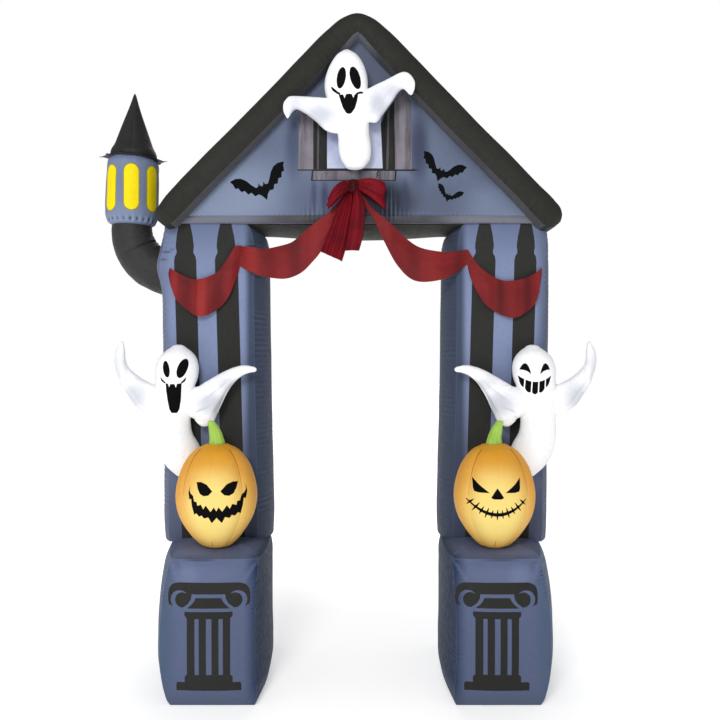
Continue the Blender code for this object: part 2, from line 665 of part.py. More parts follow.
class Builder:
    """Makes the objects, hangs them on the arch empty and seats them."""

    def __init__(self):
        clear_scene()
        self.materials = make_materials()
        self.arch = bpy.data.objects.new("arch", None)
        bpy.context.scene.collection.objects.link(self.arch)
        self.pieces = {}
        self.cutters = {}

    def add(self, name, shape, material, seats=()):
        piece = bpy.data.objects.new(name, bpy.data.meshes.new(name))
        bpy.context.scene.collection.objects.link(piece)
        piece.parent = self.arch
        # flat triangles, so that what is trimmed to a piece meets the same faces
        bmesh.ops.triangulate(shape, faces=shape.faces)
        shape.to_mesh(piece.data)
        shape.free()
        for carrier in seats:
            self.seat(piece, carrier)
        piece.data.shade_smooth()
        piece.data.set_sharp_from_angle(angle=math.radians(50))
        piece.data.materials.clear()
        piece.data.materials.append(self.materials[material])
        self.pieces[name] = piece
        return piece

    def seat(self, piece, carrier):
        """Trim a piece to the surface of its carrier, a gap away."""
        trim = piece.modifiers.new("seat", "BOOLEAN")
        trim.operation = "DIFFERENCE"
        trim.solver = "EXACT"
        trim.object = self.cutter(carrier)
        bpy.context.view_layer.update()
        depsgraph = bpy.context.evaluated_depsgraph_get()
        trimmed = bpy.data.meshes.new_from_object(piece.evaluated_get(depsgraph))
        piece.modifiers.clear()
        shape = bmesh.new()
        shape.from_mesh(trimmed)
        bmesh.ops.remove_doubles(shape, verts=shape.verts, dist=MERGE)
        bmesh.ops.dissolve_degenerate(shape, edges=shape.edges, dist=MERGE)
        bmesh.ops.triangulate(shape, faces=shape.faces)
        face_out(shape).to_mesh(piece.data)
        shape.free()

    def cutter(self, carrier):
        """Guide a gap larger than the carrier, which trims what rests on it."""
        if carrier in self.cutters:
            return self.cutters[carrier]
        shape = bmesh.new()
        shape.from_mesh(self.pieces[carrier].data)
        shape.normal_update()
        moves = [vert.normal * (GAP * min(vert.calc_shell_factor(), 3.0)) for vert in shape.verts]
        for vert, move in zip(shape.verts, moves):
            vert.co += move
        mesh = bpy.data.meshes.new("cutter_" + carrier)
        shape.to_mesh(mesh)
        shape.free()
        guide = bpy.data.objects.new("cutter_" + carrier, mesh)
        bpy.context.scene.collection.objects.link(guide)
        guide.parent = self.arch
        guide.hide_render = True
        guide.display_type = "WIRE"
        self.cutters[carrier] = guide
        return guide

    def surface(self, name):
        shape = bmesh.new()
        shape.from_mesh(self.pieces[name].data)
        tree = BVHTree.FromBMesh(shape)
        shape.free()
        return tree


def build_frame(builder):
    """Pedestals, columns, roof, gable and its underside."""
    builder.add("roof", roof(), "black_cloth")
    builder.add("gable", gable(), "blue_cloth", ["roof"])
    for side, word in ((LEFT, "left"), (RIGHT, "right")):
        builder.add("pedestal_" + word, pedestal(side), "blue_cloth")
        builder.add("column_" + word, column(side), "blue_cloth",
                    ["pedestal_" + word, "roof", "gable"])
    builder.add("lintel_underside", lintel(), "black_cloth",
                ["gable", "column_left", "column_right"])


def build_turret(builder):
    builder.add("turret_pipe", round_loft(PIPE_ROWS), "black_cloth", ["column_left"])
    builder.add("turret", round_loft(TURRET_ROWS), "blue_cloth")
    builder.add("turret_brim", round_loft(BRIM_ROWS, radii=BRIM_RADII), "black_cloth")
    builder.add("turret_cone", round_loft(CONE_ROWS, CONE_TIP), "black_cloth")


def build_pumpkins(builder):
    for side, word in ((LEFT, "left"), (RIGHT, "right")):
        builder.add("pumpkin_" + word, pumpkin(side), "orange_cloth",
                    ["pedestal_" + word, "column_" + word])
        builder.add("stem_" + word, oval_loft(STEM_ROWS, (None, STEM_TIP), side, steps=10),
                    "green_cloth", ["pumpkin_" + word])


def build_ghosts(builder):
    for side, word in ((LEFT, "left"), (RIGHT, "right")):
        body = "ghost_" + word
        column_name = "column_" + word
        builder.add(body, oval_loft(GHOST_ROWS, GHOST_TIPS, side), "white_cloth",
                    [column_name, "pumpkin_" + word])
        builder.add(body + "_raised_arm", oval_loft(RAISED_ARM_ROWS, RAISED_ARM_TIPS, side, steps=10),
                    "white_cloth", [body, column_name])
        builder.add(body + "_spread_arm",
                    oval_loft(SPREAD_ARM_ROWS, SPREAD_ARM_TIPS, side, upright=False, steps=10),
                    "white_cloth", [body, column_name])
    body = "ghost_window"
    builder.add(body, oval_loft(WINDOW_GHOST_ROWS, WINDOW_GHOST_TIPS), "white_cloth", ["gable"])
    for word, rows, tips in (("left", WINDOW_LEFT_ARM_ROWS, WINDOW_LEFT_ARM_TIPS),
                             ("right", WINDOW_RIGHT_ARM_ROWS, WINDOW_RIGHT_ARM_TIPS)):
        builder.add(body + "_" + word + "_arm", oval_loft(rows, tips, upright=False, steps=10),
                    "white_cloth", [body])


def build_swags(builder):
    builder.add("bow_knot", oval_loft(KNOT_ROWS, (None, None), steps=10), "crimson_ribbon", ["gable"])
    carriers = [builder.surface(name) for name in ("column_left", "column_right", "gable",
                                                   "lintel_underside")]
    for name, rows in SWAG_ROWS.items():
        shape = drape(rows, SWAG_ALONG, SWAG_ACROSS, carriers, FOLD_DEPTH,
                      lambda place, share: FOLDS_ALONG * place)
        builder.add(name, shape, "red_cloth", ["bow_knot"] if "inner" in name else [])
    for name, rows in TAIL_ROWS.items():
        shape = drape(rows, TAIL_ALONG, TAIL_ACROSS, [], TAIL_FOLD,
                      lambda place, share: 1.5 * share)
        builder.add(name, shape, "crimson_ribbon", ["bow_knot"])
    for name, rows in LOOP_ROWS.items():
        builder.add(name, ribbon_loop(rows), "crimson_ribbon", ["bow_knot"])


def stand_on_origin(builder):
    """Move the arch so that the middle of its footprint box is the origin."""
    low = Vector((math.inf,) * 3)
    high = Vector((-math.inf,) * 3)
    for piece in builder.pieces.values():
        for vert in piece.data.vertices:
            low = Vector(map(min, low, vert.co))
            high = Vector(map(max, high, vert.co))
    builder.arch.location = (-(low.x + high.x) / 2, -(low.y + high.y) / 2, -low.z)


def main():
    builder = Builder()
    build_frame(builder)
    build_turret(builder)
    build_pumpkins(builder)
    build_ghosts(builder)
    build_swags(builder)
    stand_on_origin(builder)


main()
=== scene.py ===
"""Looks of the inflatable archway: blown-up cloth skins, prints, drapes and studio.

Lengths along X are from the arch's middle plane, heights are from the floor and
depths are from the front face of the columns. FOOT moves all of it to the frame.
"""
import math
from collections import namedtuple

import bmesh
import bpy
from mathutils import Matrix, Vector, noise
from mathutils.bvhtree import BVHTree


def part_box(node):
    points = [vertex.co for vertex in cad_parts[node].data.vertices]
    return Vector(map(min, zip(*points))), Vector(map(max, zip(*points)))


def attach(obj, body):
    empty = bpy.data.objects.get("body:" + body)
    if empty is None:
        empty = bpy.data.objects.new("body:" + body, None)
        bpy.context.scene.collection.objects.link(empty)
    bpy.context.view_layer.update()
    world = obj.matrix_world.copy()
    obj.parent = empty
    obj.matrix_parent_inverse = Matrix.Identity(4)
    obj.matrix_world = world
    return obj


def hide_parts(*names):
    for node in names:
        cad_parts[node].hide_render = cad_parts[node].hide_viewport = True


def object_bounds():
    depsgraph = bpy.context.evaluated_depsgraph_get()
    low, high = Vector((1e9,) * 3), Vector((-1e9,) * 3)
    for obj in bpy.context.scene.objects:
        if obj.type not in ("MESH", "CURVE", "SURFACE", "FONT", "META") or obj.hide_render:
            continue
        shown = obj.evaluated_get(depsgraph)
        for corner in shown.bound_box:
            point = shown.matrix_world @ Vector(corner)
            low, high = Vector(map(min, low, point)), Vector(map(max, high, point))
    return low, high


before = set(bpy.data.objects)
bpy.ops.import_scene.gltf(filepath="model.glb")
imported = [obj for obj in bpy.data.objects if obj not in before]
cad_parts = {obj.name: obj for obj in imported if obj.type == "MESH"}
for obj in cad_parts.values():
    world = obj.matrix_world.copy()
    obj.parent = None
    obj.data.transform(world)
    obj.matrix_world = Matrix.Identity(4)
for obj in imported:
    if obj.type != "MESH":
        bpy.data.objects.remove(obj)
CAD_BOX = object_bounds()

LEFT, RIGHT = -1, 1
SIDES = ((LEFT, "left"), (RIGHT, "right"))
COLUMN_PROUD = 0.0205        # how far a column's face swells past its seams
LOW_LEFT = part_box("column_left")[0]
HIGH_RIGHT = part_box("column_right")[1]
FOOT = Vector(((LOW_LEFT[0] + HIGH_RIGHT[0]) / 2, LOW_LEFT[1] + COLUMN_PROUD, CAD_BOX[0][2]))

COLUMN_FRONT, COLUMN_BACK = 0.0, 0.38
PEDESTAL_FRONT, PEDESTAL_BACK = -0.28, 0.38
GABLE_FRONT, GABLE_BACK = -0.02, 0.392
GABLE_FOOT, GABLE_TOP, GABLE_HALF, GABLE_CROWN = 1.898, 2.675, 0.745, 0.045
HEM_TOP = 1.927
ROOF_FRONT, ROOF_BACK, ROOF_SWELL, ROOF_MIDDLE = -0.11, 0.49, 0.011, 0.008
GREY_REACH = 0.762          # how far out the grey band of painted light along the roof's foot goes
PIPE_DEPTH, PIPE_MOUTH = 0.17, 1.728
PUMPKIN_DEPTH, PUMPKIN_MIDDLE, PUMPKIN_FLATNESS, PUMPKIN_GORES = -0.165, 0.554, 0.87, 8
CLOTH_THICK = 0.002
CLOTH_CLEAR, SEWN_CLEAR = 0.003, 0.001      # behind a hanging cloth, and at its sewn ends
SEWN_SHARE = 0.012          # of a swag's length that is sewn at each end


def rows_of(kind, rows):
    """Rows of a table that is written in millimetres and, for fall, in degrees."""
    return [kind(*[value if field == "fall" else value / 1000 for field, value in zip(kind._fields, row)])
            for row in rows]


BoxRow = namedtuple("BoxRow", "height fore_middle fore_half back_middle back_half side_swell face_swell")
PEDESTAL_ROWS = rows_of(BoxRow, [(0, 552, 162, 575, 170, 0, 0), (12, 553, 171, 585, 181, 18, 8),
    (50, 560, 178, 592, 186, 36, 16), (130, 570, 182, 596, 189, 43, 22), (230, 573, 183, 598, 190, 43, 25),
    (350, 570, 181, 599, 191, 42, 25), (460, 560, 176, 600, 192, 40, 21), (530, 549, 171, 600, 191, 36, 13),
    (563, 543, 167, 598, 188, 26, 4)])
CREASE_LEAN = 0.57          # of the creases below a pedestal's top corners
LedgeRow = namedtuple("LedgeRow", "inwards share rise")
LEDGE_ROWS = [LedgeRow(*row) for row in (
    (0.0, 1.0, 0.0), (0.14, 0.86, 0.014), (0.38, 0.62, 0.022), (0.7, 0.3, 0.026), (0.98, 0.02, 0.027))]
COLUMN_ROWS = rows_of(BoxRow, [(566, 596, 184, 596, 184, 48, 16), (640, 597, 186, 597, 186, 50, 20),
    (760, 598, 186, 598, 186, 50, 21), (950, 601, 185, 601, 185, 49, 21), (1250, 606, 184, 606, 184, 48, 21),
    (1550, 609, 184, 609, 184, 47, 21), (1760, 611, 184, 611, 185, 45, 20), (1835, 614, 184, 609, 185, 40, 17),
    (1875, 620, 180, 607, 180, 29, 12), (1906, 630, 168, 610, 162, 14, 6)])

SlopeRow = namedtuple("SlopeRow", "out height half draw")
ROOF_ROWS = rows_of(SlopeRow, [(0, 2700, 37, 0), (35, 2686, 40, 0), (90, 2636, 46, 0), (200, 2521, 49, 0),
    (310, 2407, 49, 0), (450, 2262, 49, 0), (600, 2113, 49, 0), (700, 2010, 48, 0)])
LEFT_EAVE_ROWS = rows_of(SlopeRow, [(766, 1938, 45, 4), (794, 1907, 37, 14), (808, 1890, 20, 34)])
RIGHT_EAVE_ROWS = rows_of(SlopeRow, [(766, 1942, 50, 2), (796, 1910, 46, 8), (812, 1893, 33, 20),
    (820, 1884, 18, 34)])
LintelRow = namedtuple("LintelRow", "out sag")
LINTEL_ROWS = rows_of(LintelRow, [(0, 36), (150, 33), (280, 24), (390, 13), (460, 8)])

RoundRow = namedtuple("RoundRow", "out height radius fall")
PIPE_ROWS = rows_of(RoundRow, [(780, 1690, 94, -72), (820, 1703, 95, -70), (862, 1720, 96, -64),
    (910, 1747, 96, -52), (944, 1784, 94, -36), (969, 1828, 91, -23), (981, 1870, 88, -9), (983, 1914, 86, 2)])
TURRET_ROWS = rows_of(RoundRow, [(983, 1914.5, 84, 2), (983, 1922, 98, 2), (983, 1944, 109, 2),
    (983, 1985, 113, 2), (981, 2065, 113, 2), (978, 2145, 111, 2), (976, 2190, 108, 3), (975, 2206, 100, 4)])
CONE_ROWS = rows_of(RoundRow, [(975, 2209.8, 94, 4), (975, 2217, 98, 4), (975, 2272, 79, 3), (974, 2360, 47, 1),
    (971, 2450, 17, 0), (970, 2487, 6, 0)])
CONE_TIP = Vector((-0.97, PIPE_DEPTH, 2.498))
BRIM_HEIGHT, BRIM_OUT, BRIM_FALL, BRIM_HOLE, BRIM_CARRIED = 2.2066, 0.975, 4, 0.066, 0.105
BRIM_RADII = [0.148, 0.118, 0.121, 0.117, 0.122, 0.118, 0.121, 0.117, 0.119,
              0.152, 0.119, 0.124, 0.118, 0.123, 0.117, 0.122, 0.118, 0.119]

PumpkinRow = namedtuple("PumpkinRow", "height half")
PUMPKIN_ROWS = rows_of(PumpkinRow, [(584, 34), (592, 56), (612, 80), (655, 115), (712, 147), (785, 161),
    (860, 151), (925, 125), (972, 86), (994, 45)])

Oval = namedtuple("Oval", "station low high depth half")
STEM_ROWS = rows_of(Oval, [(975, 523, 588, -165, 30), (998, 521, 586, -165, 29), (1016, 526, 583, -166, 26),
    (1040, 534, 585, -167, 23), (1062, 545, 587, -169, 19), (1082, 559, 590, -171, 13)])
STEM_TIP = (1.088, 0.575, -0.171)
GHOST_ROWS = rows_of(Oval, [(1382, 698, 752, -78, 25), (1366, 675, 776, -77, 45), (1336, 652, 805, -76, 63),
    (1296, 643, 819, -75, 73), (1255, 647, 820, -74, 72), (1210, 664, 821, -72, 65), (1144, 674, 823, -70, 60),
    (1091, 678, 825, -69, 60), (1034, 672, 824, -68, 60), (977, 643, 819, -66, 60), (928, 631, 803, -65, 57),
    (887, 635, 774, -62, 50), (856, 655, 740, -58, 35)])
GHOST_TIPS = ((1.391, 0.725, -0.078), (0.844, 0.695, -0.055))
RAISED_ARM_ROWS = rows_of(Oval, [(1396, 942, 959, -105, 10), (1369, 937, 974, -104, 18),
    (1328, 936, 981, -102, 24), (1287, 914, 975, -98, 29), (1255, 876, 966, -93, 33), (1222, 820, 955, -86, 37),
    (1185, 790, 933, -80, 39), (1144, 790, 906, -76, 36), (1116, 795, 872, -74, 24)])
RAISED_ARM_TIPS = ((1.406, 0.949, -0.105), (1.104, 0.835, -0.073))
SPREAD_ARM_ROWS = rows_of(Oval, [(700, 1110, 1196, -78, 34), (664, 1088, 1212, -81, 40),
    (627, 1055, 1232, -84, 41), (590, 1064, 1253, -86, 39), (560, 1118, 1270, -88, 35),
    (525, 1192, 1288, -89, 29), (488, 1243, 1302, -90, 22), (451, 1269, 1308, -90, 16),
    (420, 1278, 1303, -90, 10)])
SPREAD_ARM_TIPS = ((0.715, 1.153, -0.078), (0.401, 1.288, -0.09))
WINDOW_GHOST_ROWS = rows_of(Oval, [(2572, -57, -12, -130, 24), (2558, -76, 7, -129, 43),
    (2536, -93, 24, -128, 58), (2505, -110, 40, -126, 69), (2470, -121, 49, -125, 74), (2430, -125, 51, -124, 74),
    (2390, -119, 51, -123, 70), (2345, -107, 54, -122, 66), (2290, -87, 54, -120, 63), (2235, -72, 58, -118, 62),
    (2180, -68, 65, -116, 60), (2143, -60, 59, -113, 52), (2116, -43, 39, -108, 35)])
WINDOW_GHOST_TIPS = ((2.58, -0.035, -0.13), (2.102, -0.002, -0.104))
WINDOW_LEFT_ARM_ROWS = rows_of(Oval, [(-30, 2258, 2360, -146, 30), (-78, 2238, 2374, -150, 34),
    (-114, 2246, 2379, -152, 33), (-166, 2288, 2382, -156, 29), (-210, 2320, 2385, -158, 25),
    (-240, 2332, 2385, -160, 22), (-258, 2314, 2384, -162, 21), (-271, 2292, 2379, -164, 19),
    (-282, 2310, 2365, -164, 13)])
WINDOW_LEFT_ARM_TIPS = ((-0.015, 2.31, -0.145), (-0.289, 2.34, -0.164))
WINDOW_RIGHT_ARM_ROWS = rows_of(Oval, [(0, 2312, 2396, -146, 30), (40, 2290, 2411, -150, 34),
    (66, 2280, 2424, -152, 34), (86, 2281, 2435, -153, 33), (104, 2305, 2443, -154, 31),
    (128, 2337, 2455, -156, 28), (152, 2371, 2467, -158, 25), (172, 2400, 2476, -160, 23),
    (190, 2414, 2481, -161, 22), (208, 2397, 2478, -162, 20), (223, 2384, 2466, -163, 16),
    (233, 2403, 2450, -163, 11)])
WINDOW_RIGHT_ARM_TIPS = ((-0.015, 2.354, -0.145), (0.238, 2.428, -0.163))

Drape = namedtuple("Drape", "top_x top_z low_x low_z depth belly")
SWAG_ROWS = {
    "swag_outer_left": rows_of(Drape, [(-777, 1712, -783, 1692, -12, 0), (-721, 1681, -767, 1634, -26, 6),
        (-658, 1662, -734, 1567, -34, 12), (-577, 1690, -647, 1508, -37, 16), (-531, 1750, -568, 1541, -34, 12),
        (-499, 1800, -517, 1609, -28, 6), (-468.7, 1802, -481.2, 1718, -10, 0)]),
    "swag_inner_left": rows_of(Drape, [(-468.5, 1802, -481, 1718, -10, 0), (-419, 1795, -425, 1689, -30, 6),
        (-370, 1789, -370, 1671, -42, 12), (-271, 1811, -291, 1662, -50, 16), (-221, 1850, -229, 1684, -54, 14),
        (-166, 1894, -182, 1726, -58, 8), (-103, 1943, -130, 1795, -60, 4), (-30, 2030, -30, 1992, -60, 0)]),
    "swag_inner_right": rows_of(Drape, [(13, 2030, 13, 1992, -60, 0), (68, 1956, 70, 1915, -60, 3),
        (119, 1912, 112, 1827, -59, 6), (213, 1827, 172, 1718, -55, 14), (279, 1789, 250, 1653, -50, 16),
        (374, 1775, 370, 1664, -40, 10), (468.5, 1789, 466, 1726, -10, 0)]),
    "swag_outer_right": rows_of(Drape, [(468.7, 1789, 466.2, 1726, -10, 0), (519, 1714, 490, 1640, -28, 6),
        (591, 1664, 545, 1550, -35, 12), (654, 1657, 640, 1503, -37, 16), (717, 1673, 704, 1524, -33, 12),
        (750, 1691, 754, 1578, -26, 6), (780.5, 1712, 779, 1692, -12, 0)]),
}
SWAG_BANDS = [
    # middle, width and height of the soft folds that run down the swags
    (-0.65, 0.006, 0.004), (-0.636, 0.03, 0.008), (-0.745, 0.02, 0.004), (-0.52, 0.02, 0.005),
    (-0.43, 0.035, 0.006), (-0.32, 0.03, 0.005), (-0.18, 0.035, 0.007), (-0.1, 0.015, 0.004),
    (0.14, 0.02, 0.004), (0.33, 0.04, 0.008), (0.54, 0.022, 0.005), (0.65, 0.028, 0.008),
    (0.765, 0.018, 0.005),
]
TAIL_PLEATS = {
    # place across the tail, width and height of its pleats
    "bow_tail_left": [(0.16, 0.11, 0.012), (0.47, 0.1, 0.01), (0.8, 0.14, 0.014)],
    "bow_tail_front": [(0.45, 0.38, 0.012), (0.93, 0.05, 0.004)],
}
TAIL_ROWS = {
    "bow_tail_left": rows_of(Drape, [(-30, 2030, -9, 2030, -78, 0), (-68, 1964, -8, 1958, -78, 0),
        (-92, 1902, -18, 1892, -78, 3), (-117, 1837, -31, 1816, -77, 4), (-142, 1771, -55, 1731, -76, 5)]),
    "bow_tail_front": rows_of(Drape, [(-6, 2030, 14, 2030, -96, 0), (-12, 1960, 36, 1960, -98, 3),
        (-22, 1895, 37, 1895, -98, 4), (-32, 1830, 30, 1830, -97, 5), (-42, 1773, 15, 1773, -96, 5)]),
}
KNOT_ROWS = rows_of(Oval, [(2009, -26, 10, -80, 28), (2016, -35, 18, -80, 36), (2036, -37, 21, -80, 39),
    (2056, -35, 19, -80, 36), (2064, -26, 10, -80, 28)])
LoopRow = namedtuple("LoopRow", "out depth top low")
LOOP_ROWS = {
    "bow_loop_left": rows_of(LoopRow, [(-26, -104, 2056, 2022), (-60, -122, 2050, 1996), (-92, -126, 2020, 1962),
        (-111, -114, 1985, 1941), (-113, -100, 1981, 1940), (-96, -88, 2010, 1958), (-62, -86, 2046, 1990),
        (-27, -90, 2056, 2022)]),
    "bow_loop_right": rows_of(LoopRow, [(10, -104, 2060, 2022), (48, -124, 2064, 1996), (88, -130, 2058, 1964),
        (117, -117, 2046, 1941), (120, -101, 2040, 1940), (92, -88, 2054, 1962), (50, -86, 2062, 1992),
        (11, -90, 2060, 2022)]),
}


# curves and skins

def smooth(rows, step, measure):
    """Rows joined by a smooth curve, about one for each step of length."""
    last = len(rows) - 1
    spans = [max(measure(near, far), 1e-6) for near, far in zip(rows, rows[1:])]
    places = [sum(spans[:i]) for i in range(last + 1)]
    rates = [[(high - low) / span for low, high in zip(near, far)]
             for near, far, span in zip(rows, rows[1:], spans)]
    slopes = [rates[0]]
    for i in range(1, last):
        before, after = spans[i - 1], spans[i]
        slopes.append([(early * after + late * before) / (before + after)
                       for early, late in zip(rates[i - 1], rates[i])])
    slopes.append(rates[-1])
    count = max(round(places[-1] / step), 2)
    made, k = [], 0
    for n in range(count + 1):
        place = places[-1] * n / count
        while k < last - 1 and place > places[k + 1]:
            k += 1
        span = spans[k]
        t = (place - places[k]) / span
        values = []
        for a, b, p, q in zip(rows[k], rows[k + 1], slopes[k], slopes[k + 1]):
            values.append((2 * t ** 3 - 3 * t ** 2 + 1) * a + (t ** 3 - 2 * t ** 2 + t) * span * p
                          + (3 * t ** 2 - 2 * t ** 3) * b + (t ** 3 - t ** 2) * span * q)
        made.append(type(rows[0])(*values))
    return made


def by(*names):
    """Distance between two rows in the named columns."""
    def measure(near, far):
        return math.dist([getattr(near, name) for name in names], [getattr(far, name) for name in names])
    return measure


def loft(rings, start_tip=None, end_tip=None):
    """Closed skin through rings of points, ended by a tip or a flat face."""
    shape = bmesh.new()
    rows = [[shape.verts.new(point) for point in ring] for ring in rings]
    count = len(rows[0])
    for near, far in zip(rows, rows[1:]):
        for i in range(count):
            j = (i + 1) % count
            shape.faces.new((near[i], near[j], far[j], far[i]))
    for row, tip in ((rows[0], start_tip), (rows[-1], end_tip)):
        if tip is None:
            shape.faces.new(row)
            continue
        point = shape.verts.new(tip)
        for i in range(count):
            shape.faces.new((row[i], row[(i + 1) % count], point))
    return face_out(shape)


def face_out(shape):
    bmesh.ops.recalc_face_normals(shape, faces=shape.faces)
    if shape.calc_volume(signed=True) < 0:
        bmesh.ops.reverse_faces(shape, faces=shape.faces)
    shape.normal_update()
    return shape


def mesh_of(name, shape):
    """Mesh data made of a bmesh, which is freed."""
    mesh = bpy.data.meshes.new(name)
    shape.to_mesh(mesh)
    shape.free()
    return mesh


def new_object(name, data):
    made = bpy.data.objects.new(name, data)
    bpy.context.scene.collection.objects.link(made)
    return made


def half_area(shape):
    """Area of one side of a thin closed sheet."""
    return sum(face.calc_area() for face in shape.faces) / 2


def turns(steps):
    """Angles evenly spaced round a circle."""
    return [2 * math.pi * step / steps for step in range(steps)]


def eased(step, steps):
    """Share of the way at a step, the steps closer together towards both ends."""
    return (1 - math.cos(math.pi * step / steps)) / 2


def heading(rows, index, *names):
    """Direction of a line of rows at one of them, from three columns or None for 0."""
    before, after = rows[max(index - 1, 0)], rows[min(index + 1, len(rows) - 1)]
    return Vector([getattr(after, name) - getattr(before, name) if name else 0 for name in names]).normalized()


def centre_of(ring):
    return sum(ring, Vector()) / len(ring)


def pinched(rings, share):
    """Rings drawn in by a share of each point's distance, from its angle and height."""
    made = []
    for ring in rings:
        centre = centre_of(ring)
        made.append([centre + (point - centre) * (1 - share(math.atan2(point.y - centre.y, point.x - centre.x),
                                                            point.z)) for point in ring])
    return made


DOME_STEPS = 4


def dome(ring, tip):
    """Rings that round a ring off towards a tip."""
    centre = centre_of(ring)
    rings = []
    for step in range(1, DOME_STEPS + 1):
        turn = math.pi / 2 * step / (DOME_STEPS + 1)
        middle = centre.lerp(tip, math.sin(turn))
        rings.append([middle + (point - centre) * math.cos(turn) for point in ring])
    return rings


def swell(share):
    """Height of a blown-up panel at a share from -1 to 1 across it."""
    return 1.0 - abs(share) ** 2.3


def ripple(point, scale, seed=0.0):
    """Soft unevenness from -1 to 1, with bumps about 1/scale apart."""
    return noise.noise(point * scale + Vector((seed, 3.7 * seed, -seed)))


def pucker(distance, along, seed, pitch=0.026, depth=0.0035, reach=0.028):
    """How deep the cloth draws in beside a seam, at a distance from it."""
    wander = 2.2 * noise.noise(Vector((along * 7, seed, 0.3)))
    ridge = 0.5 + 0.5 * math.sin(2 * math.pi * along / pitch + wander)
    uneven = 0.25 + 1.5 * max(noise.noise(Vector((along * 13, seed + 9.1, 0.8))), 0)
    fade = math.exp(-distance / reach) * (1 - math.exp(-distance / 0.004))
    return depth * ridge * uneven * fade


# cloth materials

def tone(colour, share=1.0):
    """Linear colour of a share of a screen colour from 0 to 255."""
    values = [value * share for value in colour]
    return [((value / 255 + 0.055) / 1.055) ** 2.4 if value > 10 else value / 255 / 12.92
            for value in values] + [1.0]


def set_sockets(node, **values):
    """Set a node's own sockets, named with _ for each space."""
    for name, value in values.items():
        node.inputs[name.replace("_", " ")].default_value = value
    return node


def principled(name, **values):
    """New material, its node tree and its shader with the sockets set."""
    material = bpy.data.materials.new(name)
    material.use_nodes = True
    tree = material.node_tree
    return material, tree, set_sockets(tree.nodes["Principled BSDF"], **values)


# a soft oval patch of another colour laid over a cloth; most of them are painted light or painted shade
TintPatch = namedtuple("TintPatch", "x z wide high colour strength full", defaults=(0.15,))
ANY_DEPTH = 1e3              # metres that a tint patch reaches through the part


def cloth(name, colour, deep, roughness=0.62, sheen=0.02, specular=0.14, patch=2.2, blend=0.5,
          thread=210, weave=0.35, tint_patches=(), grain=0.0, furrow=0.75, ridge=0.25):
    """Woven cloth: broad and fine colour changes, soft patches of another colour (most of them painted light and
    painted shade), and a weave.
    """
    material, tree, shader = principled(name, Roughness=roughness, Sheen_Weight=sheen, Sheen_Roughness=0.4,
                                        Specular_IOR_Level=specular)

    def node(kind, **values):
        made = tree.nodes.new(kind)
        for key, value in values.items():
            setattr(made, key, value)
        return made

    link = tree.links.new
    place = node("ShaderNodeTexCoord").outputs["Object"]

    def noise_at(scale, detail, stretch=(1, 1, 1)):
        mapping = set_sockets(node("ShaderNodeMapping"), Scale=stretch)
        link(place, mapping.inputs["Vector"])
        texture = set_sockets(node("ShaderNodeTexNoise"), Scale=scale, Detail=detail)
        link(mapping.outputs["Vector"], texture.inputs["Vector"])
        return texture.outputs["Fac"]

    def mix(factor, first, second):
        made = node("ShaderNodeMix", data_type="RGBA")
        for value, socket in ((factor, 0), (first, 6), (second, 7)):
            if isinstance(value, list):
                made.inputs[socket].default_value = value
            else:
                link(value, made.inputs[socket])
        return made.outputs[2]

    def ramp(value, low, high, top):
        made = set_sockets(node("ShaderNodeMapRange", interpolation_type="SMOOTHSTEP"),
                           From_Min=low, From_Max=high, To_Max=top)
        link(value, made.inputs["Value"])
        return made.outputs["Result"]

    shade = mix(ramp(noise_at(patch, 2.5), 0.36, 0.68, blend), tone(colour), tone(deep))
    shade = mix(ramp(noise_at(70, 2.0), 0.3, 0.75, 0.16), shade, tone(colour, 0.8))
    if grain:
        shade = mix(ramp(noise_at(38, 4.0, (1, 1, 0.09)), 0.35, 0.7, grain), shade, tone(colour, 0.55))
    # lay each tint patch over the colour: most are painted light or painted shade
    for tint in tint_patches:
        mapping = set_sockets(node("ShaderNodeMapping", vector_type="TEXTURE"),
                              Location=(tint.x + FOOT.x, 0, tint.z),
                              Scale=(tint.wide, ANY_DEPTH, tint.high))
        link(place, mapping.inputs["Vector"])
        length = node("ShaderNodeVectorMath", operation="LENGTH")
        link(mapping.outputs["Vector"], length.inputs[0])
        shade = mix(ramp(length.outputs["Value"], 1.0, tint.full, tint.strength), shade, tone(tint.colour))
    # painted shade in the furrows and painted highlight on the ridges that finish_piece measures
    bend = node("ShaderNodeAttribute", attribute_name="bend").outputs["Fac"]
    shade = mix(ramp(bend, 0.015, 0.16, furrow), shade, tone(deep, 0.42))
    shade = mix(ramp(bend, -0.015, -0.13, ridge), shade, tone([min(value * 1.12 + 8, 255) for value in colour]))
    link(shade, shader.inputs["Base Color"])

    threads = node("ShaderNodeMath", operation="MAXIMUM")
    for number, direction in enumerate(("X", "Z")):
        wave = set_sockets(node("ShaderNodeTexWave", bands_direction=direction),
                           Scale=thread, Distortion=0.6, Detail=0.0)
        link(place, wave.inputs["Vector"])
        link(wave.outputs["Fac"], threads.inputs[number])
    bump = set_sockets(node("ShaderNodeBump"), Strength=weave, Distance=0.0004)
    link(threads.outputs["Value"], bump.inputs["Height"])
    crumple = set_sockets(node("ShaderNodeBump"), Strength=0.5, Distance=0.004)
    link(noise_at(26, 3.0), crumple.inputs["Height"])
    link(bump.outputs["Normal"], crumple.inputs["Normal"])
    link(crumple.outputs["Normal"], shader.inputs["Normal"])
    rough = node("ShaderNodeMath", operation="ADD")
    rough.inputs[1].default_value = roughness - 0.08
    link(ramp(noise_at(48, 2.0), 0.2, 0.8, 0.16), rough.inputs[0])
    link(rough.outputs["Value"], shader.inputs["Roughness"])
    return material


def tint_patch_list(*rows):
    return [TintPatch(*row) for row in rows]


